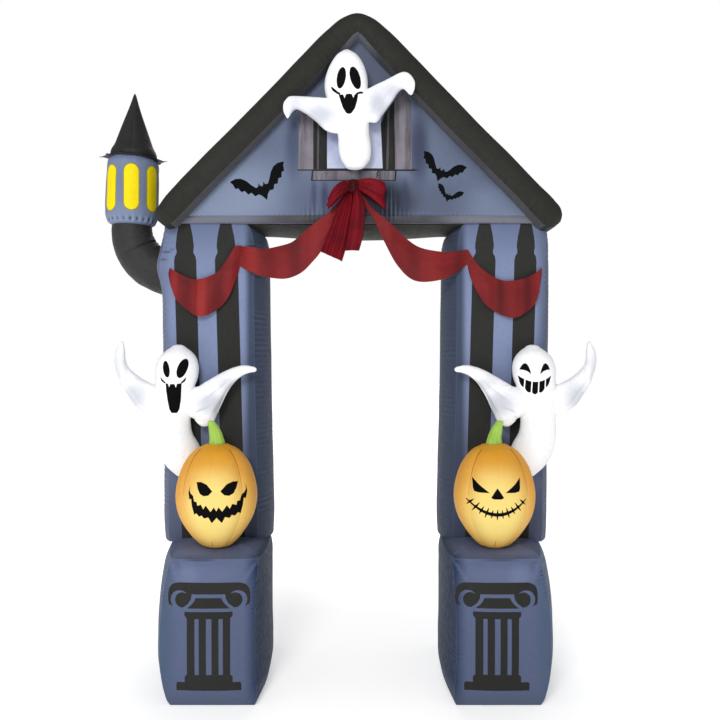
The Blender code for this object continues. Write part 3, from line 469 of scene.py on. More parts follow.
COLUMN_PAINTED_SHADE = tint_patch_list(
    # painted shade: darker under the gable, towards the bottom and on the outer sides
    (0, 1.96, 3.0, 0.34, (94, 105, 134), 0.95), (0, 0.5, 3.0, 0.95, (70, 76, 98), 0.95),
    (-0.815, 1.2, 0.055, 1.4, (88, 98, 124), 0.7), (0.815, 1.2, 0.08, 1.4, (72, 80, 102), 0.95),
    # painted shade in the small folds round the pipe's mouth
    (-0.792, 1.78, 0.034, 0.009, (64, 74, 104), 0.8), (-0.806, 1.748, 0.026, 0.008, (64, 74, 104), 0.8),
    (-0.768, 1.79, 0.02, 0.007, (70, 80, 108), 0.7),
    # painted shade on the inner sides, deeper low down and near the top
    (0, 1.2, 0.472, 30.0, (58, 68, 89), 1.0, 0.93), (0, 0.5, 0.46, 0.75, (40, 49, 65), 0.9, 0.3),
    (0, 1.9, 0.43, 0.16, (46, 50, 62), 0.8, 0.5))
GABLE_PAINTED_LIGHT_AND_SHADE = tint_patch_list(
    # painted light towards both sides; painted shade under the apex and beside the window's planks; painted shadow
    # with dark streaks below the sill and under the bow
    (-0.56, 2.01, 0.36, 0.26, (116, 127, 150), 1.0, 0.3), (0.6, 1.97, 0.24, 0.13, (104, 115, 138), 0.9, 0.3),
    (0, 2.5, 0.26, 0.2, (86, 90, 106), 0.6), (-0.255, 2.22, 0.055, 0.22, (60, 68, 92), 0.8),
    (0.262, 2.2, 0.065, 0.24, (52, 58, 80), 0.9), (0.33, 1.98, 0.22, 0.14, (76, 84, 104), 0.8),
    (0.1, 1.98, 0.21, 0.14, (34, 38, 50), 1.0, 0.3), (-0.17, 1.98, 0.17, 0.14, (80, 88, 110), 0.8),
    (-0.172, 2.005, 0.02, 0.095, (60, 66, 90), 0.9), (-0.128, 1.995, 0.024, 0.11, (56, 62, 88), 0.9),
    (0.205, 1.99, 0.03, 0.12, (50, 56, 76), 0.8))
# the hem lighter towards both ends
HEM_TINTS = tint_patch_list((-0.62, 1.91, 0.34, 0.3, (104, 106, 118), 0.95, 0.4),
                      (0.62, 1.91, 0.34, 0.3, (108, 108, 120), 0.95, 0.4))
# painted highlight on the grey band near the apex
ROOF_PAINTED_HIGHLIGHT = tint_patch_list((0, 2.66, 0.17, 0.14, (124, 126, 134), 1.0, 0.4))
PEDESTAL_PAINTED_LIGHT_AND_SHADE = tint_patch_list(
    # painted shade on the inner and outer sides, at the foot and as a line under the ledge's edge; painted light
    # along the top and at the upper front corners
    (0, 0.3, 0.438, 30.0, (18, 38, 68), 1.0, 0.84), (-0.77, 0.3, 0.1, 0.42, (72, 88, 112), 0.8, 0.4),
    (0.77, 0.3, 0.1, 0.42, (72, 88, 112), 0.8, 0.4), (0, 0.6, 3.0, 0.035, (96, 105, 138), 0.8),
    (-0.565, 0.505, 0.165, 0.06, (98, 106, 138), 0.6), (0.55, 0.505, 0.165, 0.06, (98, 106, 138), 0.6),
    (0, 0, 3.0, 0.09, (76, 84, 104), 0.6), (-0.645, 0.5, 0.07, 0.07, (108, 118, 151), 0.6),
    (0.635, 0.5, 0.07, 0.07, (108, 118, 151), 0.6), (-0.64, 0.58, 0.1, 0.016, (114, 121, 148), 0.5),
    (0.625, 0.58, 0.1, 0.016, (114, 121, 148), 0.5), (-0.6, 0.56, 0.08, 0.007, (50, 58, 84), 0.7, 0.3),
    (0.56, 0.56, 0.09, 0.007, (50, 58, 84), 0.6, 0.3))
SHADE_WHITE = (186, 189, 198)
# painted shade on the window ghost's arms, and by the column ghosts' armpits and arms
GHOST_PAINTED_SHADE = [TintPatch(x, z, wide, high, SHADE_WHITE, strength) for x, z, wide, high, strength in (
    (-0.15, 2.3, 0.12, 0.07, 1.0), (-0.235, 2.34, 0.06, 0.06, 0.7), (0.09, 2.345, 0.07, 0.09, 1.0),
    (0.15, 2.4, 0.07, 0.055, 0.8))]
GHOST_PAINTED_SHADE += [TintPatch(side * x, z, wide, high, SHADE_WHITE, strength) for side, _ in SIDES
                  for x, z, wide, high, strength in (
                      (0.575, 1.15, 0.11, 0.07, 0.9), (0.52, 1.23, 0.07, 0.05, 0.6),
                      (0.9, 1.18, 0.09, 0.09, 0.8), (0.965, 1.29, 0.03, 0.12, 0.6))]
SWAG_PAINTED_LIGHT, SWAG_PAINTED_SHADE = (139, 43, 43), (80, 24, 28)
SWAG_PAINTED_FOLD_SHADE = tint_patch_list(
    # painted light and painted shade in bands that run down the swags, along their folds
    (-0.636, 1.58, 0.03, 0.3, SWAG_PAINTED_LIGHT, 0.95, 0.3), (-0.7, 1.6, 0.035, 0.3, SWAG_PAINTED_SHADE, 0.6),
    (-0.57, 1.6, 0.045, 0.3, SWAG_PAINTED_SHADE, 0.6), (-0.755, 1.66, 0.025, 0.2, SWAG_PAINTED_LIGHT, 0.7),
    (-0.44, 1.74, 0.05, 0.2, SWAG_PAINTED_LIGHT, 0.7), (-0.36, 1.73, 0.045, 0.2, SWAG_PAINTED_SHADE, 0.4),
    (-0.25, 1.78, 0.045, 0.3, SWAG_PAINTED_SHADE, 0.6), (-0.16, 1.84, 0.04, 0.3, SWAG_PAINTED_LIGHT, 0.2),
    (0.24, 1.76, 0.045, 0.3, SWAG_PAINTED_SHADE, 0.5), (0.33, 1.72, 0.05, 0.3, SWAG_PAINTED_LIGHT, 0.2),
    (0.43, 1.74, 0.03, 0.3, SWAG_PAINTED_SHADE, 0.5), (0.6, 1.58, 0.022, 0.3, SWAG_PAINTED_SHADE, 0.8),
    (0.65, 1.58, 0.03, 0.3, SWAG_PAINTED_LIGHT, 0.2), (0.712, 1.6, 0.03, 0.3, SWAG_PAINTED_SHADE, 0.9),
    (0.765, 1.66, 0.02, 0.2, SWAG_PAINTED_LIGHT, 0.4))
INK = dict(roughness=0.8, specular=0.05, sheen=0.0)
RIBBON = dict(roughness=0.55, specular=0.08, sheen=0.0, patch=14.0, blend=0.7, ridge=0.0)
INKS = {
    # name: colour, darker colour, and other settings
    "blue": ((122, 134, 166), (112, 124, 156), dict(tint_patches=COLUMN_PAINTED_SHADE)),
    "pedestal_blue": ((87, 97, 127), (80, 91, 118), dict(tint_patches=PEDESTAL_PAINTED_LIGHT_AND_SHADE)),
    "gable_blue": ((96, 106, 128), (84, 94, 117), dict(tint_patches=GABLE_PAINTED_LIGHT_AND_SHADE, patch=3.0)),
    "plain_blue": ((106, 116, 142), (96, 106, 130), dict(patch=3.0)),
    "hem": ((66, 66, 72), (76, 72, 76), dict(patch=14.0, blend=0.8, tint_patches=HEM_TINTS)),
    "print_black": ((46, 46, 45), (38, 38, 37), dict(roughness=0.75, specular=0.1, sheen=0.0)),
    "face_black": ((9, 9, 10), (12, 12, 13), INK),
    "bat_black": ((12, 14, 16), (8, 9, 10), INK),
    "plank": ((122, 117, 126), (96, 91, 99), dict(grain=0.85, patch=9.0)),
    "louvre": ((40, 39, 39), (26, 26, 27), dict(grain=0.7, patch=9.0, specular=0.1)),
    "louvre_light": ((84, 82, 82), (62, 60, 60), dict(grain=0.7, patch=9.0, specular=0.1)),
    "pane": ((176, 182, 202), (140, 148, 182), dict(patch=8.0, blend=0.8)),
    "line_black": ((36, 36, 42), (46, 46, 54), dict(specular=0.1)),
    "yellow": ((238, 214, 4), (228, 202, 4), dict(roughness=0.5)),
    "yellow_edge": ((160, 140, 20), (130, 112, 22), dict(roughness=0.5)),
    "roof_black": ((38, 38, 34), (31, 32, 28), dict(roughness=0.66, specular=0.15)),
    "roof_painted_light": ((84, 85, 88), (70, 72, 75), dict(roughness=0.66, patch=9.0, tint_patches=ROOF_PAINTED_HIGHLIGHT)),
    "pipe_black": ((44, 43, 43), (34, 33, 33), dict(specular=0.3, ridge=0.1)),
    "turret_blue": ((116, 128, 154), (96, 108, 136), dict(patch=5.0)),
    "cone_black": ((34, 34, 34), (27, 27, 27), dict(specular=0.25)),
    "ghost_white": ((243, 244, 246), (234, 236, 241),
                    dict(roughness=0.75, weave=0.2, furrow=0.35, ridge=0.0, tint_patches=GHOST_PAINTED_SHADE)),
    "orange_seam": ((176, 112, 40), (160, 98, 32), dict(ridge=0.0)),
    "green": ((156, 192, 84), (124, 166, 62), dict(patch=20.0)),
    "red": ((118, 33, 35), (92, 25, 28),
            dict(roughness=0.6, specular=0.1, sheen=0.0, patch=9.0, blend=0.6, thread=150, ridge=0.0,
                 tint_patches=SWAG_PAINTED_FOLD_SHADE)),
    "crimson": ((106, 10, 23), (78, 7, 18), dict(RIBBON, furrow=0.5)),
    "crimson_deep": ((66, 14, 18), (48, 10, 14), RIBBON),
}
MATERIALS = {name: cloth(name + "_cloth", colour, deep, **more) for name, (colour, deep, more) in INKS.items()}
for side, word in SIDES:
    # painted glow: brighter in the middle of the face, deeper orange above it
    glow = tint_patch_list((side * 0.545, 0.755, 0.17, 0.215, (232, 207, 122), 0.95, 0.35),
                       (side * 0.545, 0.99, 0.16, 0.12, (212, 150, 34), 0.8))
    MATERIALS["orange_" + word] = cloth("orange_cloth_" + word, (222, 160, 66), (212, 146, 52), roughness=0.58,
                                        patch=6.0, tint_patches=glow, furrow=0.25, ridge=0.0)


# prints

FACING = 0.12                # least cosine between a painted face and the print's way
CUT_MARGIN, CUT_WELD = 1e-5, 1e-6


def paint(shape, outline, slot, turn=0.0, origin=Vector()):
    """Cut a print's outline into the faces that look its way and give them a slot.

    The outline is in metres across and up, on a plane that faces the front, or
    that is turned about an upright line through the origin."""
    right = Vector((math.cos(turn), math.sin(turn), 0))
    outwards = Vector((math.sin(turn), -math.cos(turn), 0))
    lows = [min(point[i] for point in outline) for i in (0, 1)]
    highs = [max(point[i] for point in outline) for i in (0, 1)]

    def flat(point):
        return (point - origin).dot(right), point.z

    def box(face):
        points = [flat(vert.co) for vert in face.verts]
        return [min(p[0] for p in points), min(p[1] for p in points),
                max(p[0] for p in points), max(p[1] for p in points)]

    def meets(extent, low, high):
        return (extent[0] <= high[0] and extent[2] >= low[0]
                and extent[1] <= high[1] and extent[3] >= low[1])

    near = {}
    for face in shape.faces:
        if face.normal.dot(outwards) > FACING:
            extent = box(face)
            if meets(extent, lows, highs):
                near[face] = extent
    for start, end in zip(outline, outline[1:] + outline[:1]):
        low = [min(start[i], end[i]) - CUT_MARGIN for i in (0, 1)]
        high = [max(start[i], end[i]) + CUT_MARGIN for i in (0, 1)]
        faces = [face for face, extent in near.items() if meets(extent, low, high)]
        parts = set(faces)
        for face in faces:
            parts.update(face.edges)
            parts.update(face.verts)
        across, up = end[0] - start[0], end[1] - start[1]
        if not faces or math.hypot(across, up) < 1e-7:
            continue
        cut = bmesh.ops.bisect_plane(
            shape, geom=list(parts), dist=CUT_WELD,
            plane_co=origin + right * start[0] + Vector((0, 0, start[1] - origin.z)),
            plane_no=(right * up - Vector((0, 0, across))).normalized())
        for piece in cut["geom"]:
            if isinstance(piece, bmesh.types.BMFace):
                near[piece] = box(piece)
    for face in near:
        if inside(flat(face.calc_center_median()), outline):
            face.material_index = slot


def inside(point, outline):
    """True if a flat point lies in a closed outline."""
    found = False
    for (ax, ay), (bx, by_) in zip(outline, outline[1:] + outline[:1]):
        if (ay > point[1]) != (by_ > point[1]):
            if point[0] < ax + (bx - ax) * (point[1] - ay) / (by_ - ay):
                found = not found
    return found


def millimetres(points, x=0.0, z=0.0, side=RIGHT):
    """Outline in metres from points in millimetres about a place."""
    return [(x + side * across / 1000, z + up / 1000) for across, up in points]


OVAL_STEPS = 26


def oval(x, z, wide, high, lean=0.0):
    """Outline of an ellipse that leans over, in degrees."""
    turn = math.radians(lean)
    outline = []
    for angle in turns(OVAL_STEPS):
        u, v = wide * math.cos(angle), high * math.sin(angle)
        outline.append((x + u * math.cos(turn) + v * math.sin(turn),
                        z - u * math.sin(turn) + v * math.cos(turn)))
    return outline


def stroke(points, widths):
    """Outline of a brush line through points, with its width at each point."""
    upper, lower = [], []
    for index, (x, z) in enumerate(points):
        ax, az = points[max(index - 1, 0)]
        bx, bz = points[min(index + 1, len(points) - 1)]
        length = math.hypot(bx - ax, bz - az)
        nx, nz = -(bz - az) / length, (bx - ax) / length
        half = widths[index] / 2
        upper.append((x + nx * half, z + nz * half))
        lower.append((x - nx * half, z - nz * half))
    return upper + lower[::-1]


def mirrored(half):
    """Whole outline from its right half, which starts and ends on the middle."""
    return half + [(-across, up) for across, up in reversed(half)]


# places of the stripes' middles at the top of each column
STRIPES = {"left": (-0.7115, -0.539), "right": (0.5367, 0.7099)}
StripeRow = namedtuple("StripeRow", "height half")
STRIPE_ROWS = rows_of(StripeRow, [(1905, 22), (1880, 27), (1845, 34), (1812, 38), (1797, 38.5), (1782, 35.5),
    (1772, 36.5), (1760, 44), (1742, 47.5), (1600, 47), (500, 46)])
STRIPE_LEAN, STRIPE_TOP = 0.028, 1.75    # towards the middle, per metre below the top
BAT = mirrored([
    (0.0, 0.06), (0.05, 0.1), (0.09, 0.2), (0.13, 0.09), (0.22, 0.08), (0.33, 0.22), (0.45, 0.42),
    (0.6, 0.57), (0.78, 0.63), (1.0, 0.6), (0.93, 0.47), (0.9, 0.3), (0.8, 0.28), (0.74, 0.12),
    (0.62, 0.12), (0.54, -0.04), (0.42, -0.02), (0.34, -0.18), (0.2, -0.16), (0.1, -0.26), (0.0, -0.44)])
BatPlace = namedtuple("BatPlace", "x z half tilt")
BATS = [BatPlace(*row) for row in (
    (-0.3834, 2.0384, 0.12, 20), (0.3523, 2.1041, 0.096, -20), (0.3842, 2.0052, 0.058, -19))]
JAGGED_GRIN = mirrored([
    (0, 751), (9, 767), (22, 749), (40, 774), (50, 759), (59, 777), (74, 772), (76, 786), (86, 788),
    (91, 809), (101, 817), (106, 828), (104, 849), (111, 822), (107, 794), (99, 796), (96, 769), (87, 735),
    (79, 742), (67, 729), (57, 734), (48, 722), (32, 727), (19, 703), (0, 725)])
ALMOND_EYE = [(78, 861), (60, 862), (38, 853), (15, 827), (30, 812), (48, 809), (64, 818), (73, 838)]
NOSE = [(0, 839), (13, 821), (25, 802), (13, 797), (-13, 797), (-25, 802), (-13, 821)]
PUMPKIN_FACES, STITCHES = {"left": -0.533, "right": 0.544}, 11
ANGRY_EYE = [(91, 877), (70, 853), (52, 838), (30, 821), (70, 821), (86, 825), (90, 836)]
SLY_EYE = [(22, -3), (16, 11), (9, 20), (1, 23), (-6, 19), (-12, 9), (-18, -7), (-21, -22), (-8, -10), (8, -4)]
TURRET_WINDOWS, TURRET_WINDOW_TURN = 7, 11.5
TURRET_LOW, TURRET_HIGH, TURRET_WINDOW_HALF = 1.966, 2.168, 0.0335


def paint_stripes(shape, side, word, ink):
    for top_x in STRIPES[word]:
        edges = [[(top_x - side * STRIPE_LEAN * (STRIPE_TOP - row.height) + way * row.half, row.height)
                  for row in STRIPE_ROWS] for way in (-1, 1)]
        paint(shape, edges[0] + edges[1][::-1], ink)


def flared(*rows):
    """Outline that is alike on both sides, from its half widths and heights, top first."""
    return [(-rows[0][0], rows[0][1])] + list(rows) + [(-half, up) for half, up in rows[:0:-1]]


def paint_order(shape, x, dark, light):
    """Print of a fluted column with a scrolled capital, on a pedestal's face."""
    paint(shape, millimetres(flared((118, 477), (134, 473), (147, 464), (155, 450), (158, 432), (158, 411)), x),
          dark)
    scroll = (dark, 106, 52), (light, 110.8, 36.5), (dark, 100.4, 29)
    for side in (LEFT, RIGHT):
        for ink, across, radius in scroll:
            paint(shape, oval(x + side * across / 1000, 0.4108, radius / 1000, radius / 1000), ink)
        paint(shape, millimetres([(152, 391), (128, 382), (108, 376), (60, 374), (60, 354), (162, 354)], x,
                                 side=side), light)
    pieces = [
        (light, flared((64, 433), (67, 415), (77, 398), (99, 381), (99, 367))),
        (dark, flared((49, 419), (56, 405), (66, 393), (82, 379))),
        (dark, flared((92, 366), (92, 351), (83, 340))),
        (dark, flared((83, 341), (83, 122))),
        *[(light, [(low, 339), (high, 339), (high, 124), (low, 124)])
          for low, high in ((-53, -37), (-9, 12), (39, 55))],
        (dark, flared((85, 124), (92, 116), (92, 93))),
        (dark, flared((120, 95), (125, 88), (125, 62))),
    ]
    for ink, points in pieces:
        paint(shape, millimetres(points, x), ink)


# pieces

def finish_piece(name, shape, nodes, materials, angle=38):
    """Object of a shape in place of its nodes."""
    for vert in shape.verts:
        vert.co += FOOT
    bend = bends(shape)
    mesh = mesh_of(name, shape)
    mesh.attributes.new("bend", "FLOAT", "POINT").data.foreach_set("value", bend)
    piece = new_object(name, mesh)
    mesh.shade_smooth()
    mesh.set_sharp_from_angle(angle=math.radians(angle))
    for material in materials:
        mesh.materials.append(MATERIALS[material])
    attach(piece, "root")
    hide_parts(*nodes)
    return piece


def bends(shape):
    """How sharply the skin bends at each point: above 0 in a furrow, below 0 on a ridge."""
    shape.normal_update()
    shape.verts.ensure_lookup_table()
    raw = []
    for vert in shape.verts:
        total = reach = 0.0
        for edge in vert.link_edges:
            away = edge.other_vert(vert).co - vert.co
            total += away.dot(vert.normal)
            reach += away.length
        raw.append(total / reach if reach else 0.0)
    soft = []
    for vert in shape.verts:
        around = [raw[edge.other_vert(vert).index] for edge in vert.link_edges]
        soft.append(0.5 * raw[vert.index] + 0.5 * sum(around) / max(len(around), 1))
    return soft


CRUMPLE = 0.0015             # unevenness of the box cushions' and the gable's skins


def box_ring(row, front, back, side, steps, seed, face_tucks, side_tucks):
    """Fine level outline of a blown-up box, puckered beside its four seams."""
    fore, rear = side * row.fore_middle, side * row.back_middle
    seams = [Vector((x, y, row.height)) for x, y in (
        (fore - row.fore_half, front), (fore + row.fore_half, front),
        (rear + row.back_half, back), (rear - row.back_half, back))]
    bows = [(Vector(way), reach, tucks) for way, reach, tucks in (
        ((0, -1, 0), row.face_swell, face_tucks), ((1, 0, 0), row.side_swell, side_tucks),
        ((0, 1, 0), row.face_swell, face_tucks), ((-1, 0, 0), row.side_swell, side_tucks))]
    ring = []
    for number, (start, end, (outwards, reach, tucks)) in enumerate(zip(seams, seams[1:] + seams[:1], bows)):
        length = (end - start).length
        for step in range(steps):
            share = eased(step, steps)
            distance = min(share, 1 - share) * length
            seam = seed + (number if share < 0.5 else (number + 1) % 4) * 5.3
            point = start.lerp(end, share) + outwards * (reach * swell(2 * share - 1))
            draw = pucker(distance, row.height, seam, *tucks)
            draw += CRUMPLE * ripple(point, 9, seed) * min(distance / 0.05, 1)
            ring.append(point - outwards * draw)
    return ring


# pitch, depth and reach of the puckers beside the front and back seams, and on the sides
PEDESTAL_TUCKS = (0.016, 0.003, 0.035), (0.018, 0.003, 0.06)
COLUMN_SIDE_TUCKS = (0.022, 0.0042, 0.09)
ORDER_PLACES = {"left": -0.5632, "right": 0.5429}


def pedestal(side, word):
    steps = 26
    rings = []
    for row in smooth(PEDESTAL_ROWS, 0.004, by("height", "face_swell")):
        ring = box_ring(row, PEDESTAL_FRONT, PEDESTAL_BACK, side, steps, 1.0 + side, *PEDESTAL_TUCKS)
        drop = PEDESTAL_ROWS[-1].height - row.height
        fade = math.exp(-drop / 0.09)
        for index in range(steps + 1):
            # crease that runs down and inwards from each top corner of the front
            inset = row.fore_half - abs(ring[index].x - side * row.fore_middle)
            beyond = inset - CREASE_LEAN * drop
            proud = 0.009 * math.exp(-(beyond / 0.013) ** 2) * min(drop / 0.02, 1) * fade
            proud -= 0.006 * min(max(-beyond / 0.03, 0), 1) * fade
            ring[index] = ring[index] + Vector((0, -proud, 0))
        rings.append(ring)
    seam = rings[-1]
    centre = centre_of(seam)
    for row in smooth(LEDGE_ROWS, 0.035, by("inwards"))[1:]:
        ring = []
        for point in seam:
            inwards = point.lerp(centre, 1 - row.share) + Vector((0, 0, row.rise))
            distance = (point - inwards).length
            corner = min((point - seam[0]).length, (point - seam[steps]).length)
            lift = 0.008 * math.exp(-(corner / 0.03) ** 2) * min(distance / 0.03, 1) * row.share
            lift -= pucker(distance, point.x + point.y, 4.0 + side, 0.016, 0.005, 0.07)
            ring.append(inwards + Vector((0, 0, lift)))
        rings.append(ring)
    shape = loft(rings)
    paint_order(shape, ORDER_PLACES[word], 1, 0)
    finish_piece("pedestal_%s_skin" % word, shape, ["pedestal_" + word],
                 ["pedestal_blue", "print_black"])


def column(side, word):
    rings = []
    for row in smooth(COLUMN_ROWS, 0.005, by("height")):
        # the pipe's mouth pulls at the left column's outer edge
        pulled = math.exp(-((row.height - PIPE_MOUTH) / 0.075) ** 2) if side == LEFT else 0.0
        tucked = math.exp(-((row.height - PIPE_MOUTH - 0.07) / 0.06) ** 2) if side == LEFT else 0.0
        ring = box_ring(row, COLUMN_FRONT, COLUMN_BACK, side, 24, 7.0 + side,
                        (0.02, 0.0014 + 0.009 * tucked, 0.012 + 0.02 * tucked), COLUMN_SIDE_TUCKS)
        for point in ring:
            outer = (side * point.x - row.fore_middle) / row.fore_half
            point.x += side * 0.025 * pulled * min(max((outer - 0.5) / 0.5, 0), 1) ** 2
        rings.append(ring)
    shape = loft(rings)
    paint_stripes(shape, side, word, 1)
    finish_piece("column_%s_skin" % word, shape, ["column_" + word], ["blue", "print_black"])


def roof():
    left = [row._replace(out=-row.out) for row in reversed(ROOF_ROWS[1:] + LEFT_EAVE_ROWS)]
    step_length = 0.008
    rows = smooth(left + ROOF_ROWS + RIGHT_EAVE_ROWS, step_length, by("out", "height"))
    rings = []
    faces = (("under", 26), ("back", 10), ("top", 20), ("front", 10))
    length = 0.0
    for index, row in enumerate(rows):
        along = heading(rows, index, "out", None, "height")
        length += step_length
        up = Vector((-along.z, 0, along.x))
        middle = Vector((ROOF_MIDDLE + row.out, 0, row.height))
        front, back = ROOF_FRONT + row.draw, ROOF_BACK - row.draw
        ring = []
        for number, (face, steps) in enumerate(faces):
            wide = back - front if face in ("under", "top") else 2 * row.half
            for step in range(steps):
                share = eased(step, steps)
                distance = min(share, 1 - share) * wide
                seed = 20 + (number if share < 0.5 else (number + 1) % 4)
                draw = pucker(distance, length, seed, 0.026, 0.006, 0.025)
                bow = swell(2 * share - 1) * ROOF_SWELL - draw
                if face == "under":
                    across, rise = front + share * (back - front), -row.half - bow
                elif face == "back":
                    across, rise = back + bow, row.half * (2 * share - 1)
                elif face == "top":
                    across, rise = back - share * (back - front), row.half + bow
                else:
                    across, rise = front - bow, row.half * (1 - 2 * share)
                point = middle + up * rise + Vector((0, across, 0))
                ring.append(point + up * (0.0012 * ripple(point, 8, 3.0)))
        rings.append(ring)
    shape = loft(rings)
    # the underside's front strip takes the lighter grey: painted light on the black roof cloth
    for face in shape.faces:
        centre = face.calc_center_median()
        if (centre.y < GABLE_FRONT + 0.04 and face.normal.z < -0.3 and face.normal.y > -0.8
                and abs(centre.x - ROOF_MIDDLE) < GREY_REACH):
            face.material_index = 1
    finish_piece("roof_skin", shape, ["roof"], ["roof_black", "roof_painted_light"])


def gable_depth(x, z, front):
    """Depth of the gable's front or back, crowned between its three seams."""
    rise = (z - GABLE_FOOT) / (GABLE_TOP - GABLE_FOOT)
    width = 1 - rise
    right = (x / GABLE_HALF + width) / 2
    left = width - right
    bulge = GABLE_CROWN * max(27 * rise * right * left, 0) ** 0.5
    if not front:
        return GABLE_BACK + bulge
    by_bow = math.exp(-((abs(x) - 0.15) / 0.1) ** 2)
    loose = max(noise.noise(Vector((x * 5, 2.0, 0.5))), 0)
    draw = pucker(max(z - HEM_TOP, 0) + 0.004, x, 31.0, 0.019, 0.0015 + 0.009 * by_bow + 0.006 * loose,
                  0.025 + 0.05 * by_bow)
    if z < HEM_TOP:
        draw += pucker(z - GABLE_FOOT + 0.004, x, 34.0, 0.012, 0.0045, 0.03)
    draw += 0.004 * math.exp(-((z - HEM_TOP) / 0.004) ** 2)
    return GABLE_FRONT - bulge + draw + CRUMPLE * ripple(Vector((x, 0, z)), 7, 5.0)


def gable():
    across, rows = 300, 90
    rings = []
    for k in range(rows + 1):
        # closer together near the hem, where the cloth is puckered
        z = GABLE_FOOT + (GABLE_TOP - 0.012 - GABLE_FOOT) * (k / rows) ** 1.6
        half = GABLE_HALF * (GABLE_TOP - z) / (GABLE_TOP - GABLE_FOOT)
        ring = []
        for front in (True, False):
            for i in range(across + 1):
                x = half * (2 * i / across - 1) * (1 if front else -1)
                ring.append(Vector((x, gable_depth(x, z, front), z)))
        rings.append(ring)
    shape = loft(rings)
    inks = ["gable_blue", "hem", "bat_black", "plank", "louvre", "louvre_light", "pane", "line_black", "plain_blue"]
    low, wide = GABLE_FOOT - 0.01, 0.8
    paint(shape, [(-wide, low), (wide, low), (wide, HEM_TOP), (-wide, HEM_TOP)], 1)
    for bat in BATS:
        turn = math.radians(bat.tilt)
        paint(shape, [(bat.x + bat.half * (u * math.cos(turn) - v * math.sin(turn)),
                       bat.z + bat.half * (u * math.sin(turn) + v * math.cos(turn))) for u, v in BAT], 2)
    # the window's sill line, planks, louvres, pane, ledge and cracks, by number in inks
    window = [
        (7, [(-238, 2108), (236, 2106), (262, 2110), (238, 2116), (-240, 2115)]),
        (3, [(-236, 2113), (-174, 2113), (-172, 2345), (-206, 2378), (-232, 2362)]),
        (4, [(-174, 2113), (-117, 2113), (-117, 2350), (-174, 2345)]),
        (5, [(-160, 2113), (-151, 2113), (-149, 2348), (-156, 2347)]),
        (6, [(-117, 2117), (112, 2117), (104, 2350), (-117, 2350)]),
        (4, [(112, 2113), (163, 2113), (160, 2400), (120, 2345), (104, 2300)]),
        (5, [(126, 2113), (136, 2113), (140, 2370), (131, 2350)]),
        (3, [(163, 2113), (232, 2113), (231, 2400), (196, 2450), (160, 2402)]),
        (7, [(-184, 2066), (166, 2066), (170, 2108), (-180, 2108)]),
        (3, [(-176, 2070), (160, 2070), (163, 2106), (-174, 2106)]),
        (7, [(-120, 2106), (-116, 2094), (-124, 2078), (-118, 2094)]),
        (7, [(98, 2106), (90, 2094), (94, 2088), (84, 2074), (88, 2090), (85, 2094), (92, 2106)]),
    ]
    for ink, points in window:
        paint(shape, millimetres(points), ink)
    for face in shape.faces:
        if face.normal.y > 0.5:
            face.material_index = 8
    finish_piece("gable_skin", shape, ["gable"], inks)


def lintel():
    rows = [row._replace(out=-row.out) for row in reversed(LINTEL_ROWS[1:])] + LINTEL_ROWS
    steps, edge = 24, 0.004
    rings = []
    for row in smooth(rows, 0.007, by("out")):
        ring = []
        for step in range(steps + 1):
            share = eased(step, steps)
            drop = edge + row.sag * swell(2 * share - 1)
            drop -= pucker(min(share, 1 - share) * COLUMN_BACK, row.out, 41, 0.02, 0.004, 0.03)
            ring.append(Vector((row.out, share * COLUMN_BACK, GABLE_FOOT - drop)))
        for share in (1.0, 0.5, 0.0):
            ring.append(Vector((row.out, share * COLUMN_BACK, GABLE_FOOT + edge)))
        rings.append(ring)
    finish_piece("lintel_skin", loft(rings), ["lintel_underside"], ["roof_black"])


def round_rings(rows, steps, wobble):
    rings = []
    for index, row in enumerate(rows):
        fall = math.radians(row.fall)
        across = Vector((math.cos(fall), 0, -math.sin(fall)))
        middle = Vector((-row.out, PIPE_DEPTH, row.height))
        ring = []
        for turn in turns(steps):
            spoke = across * math.cos(turn) + Vector((0, 1, 0)) * math.sin(turn)
            ring.append(middle + spoke * (row.radius + wobble(index / (len(rows) - 1), turn, row)))
        rings.append(ring)
    return rings


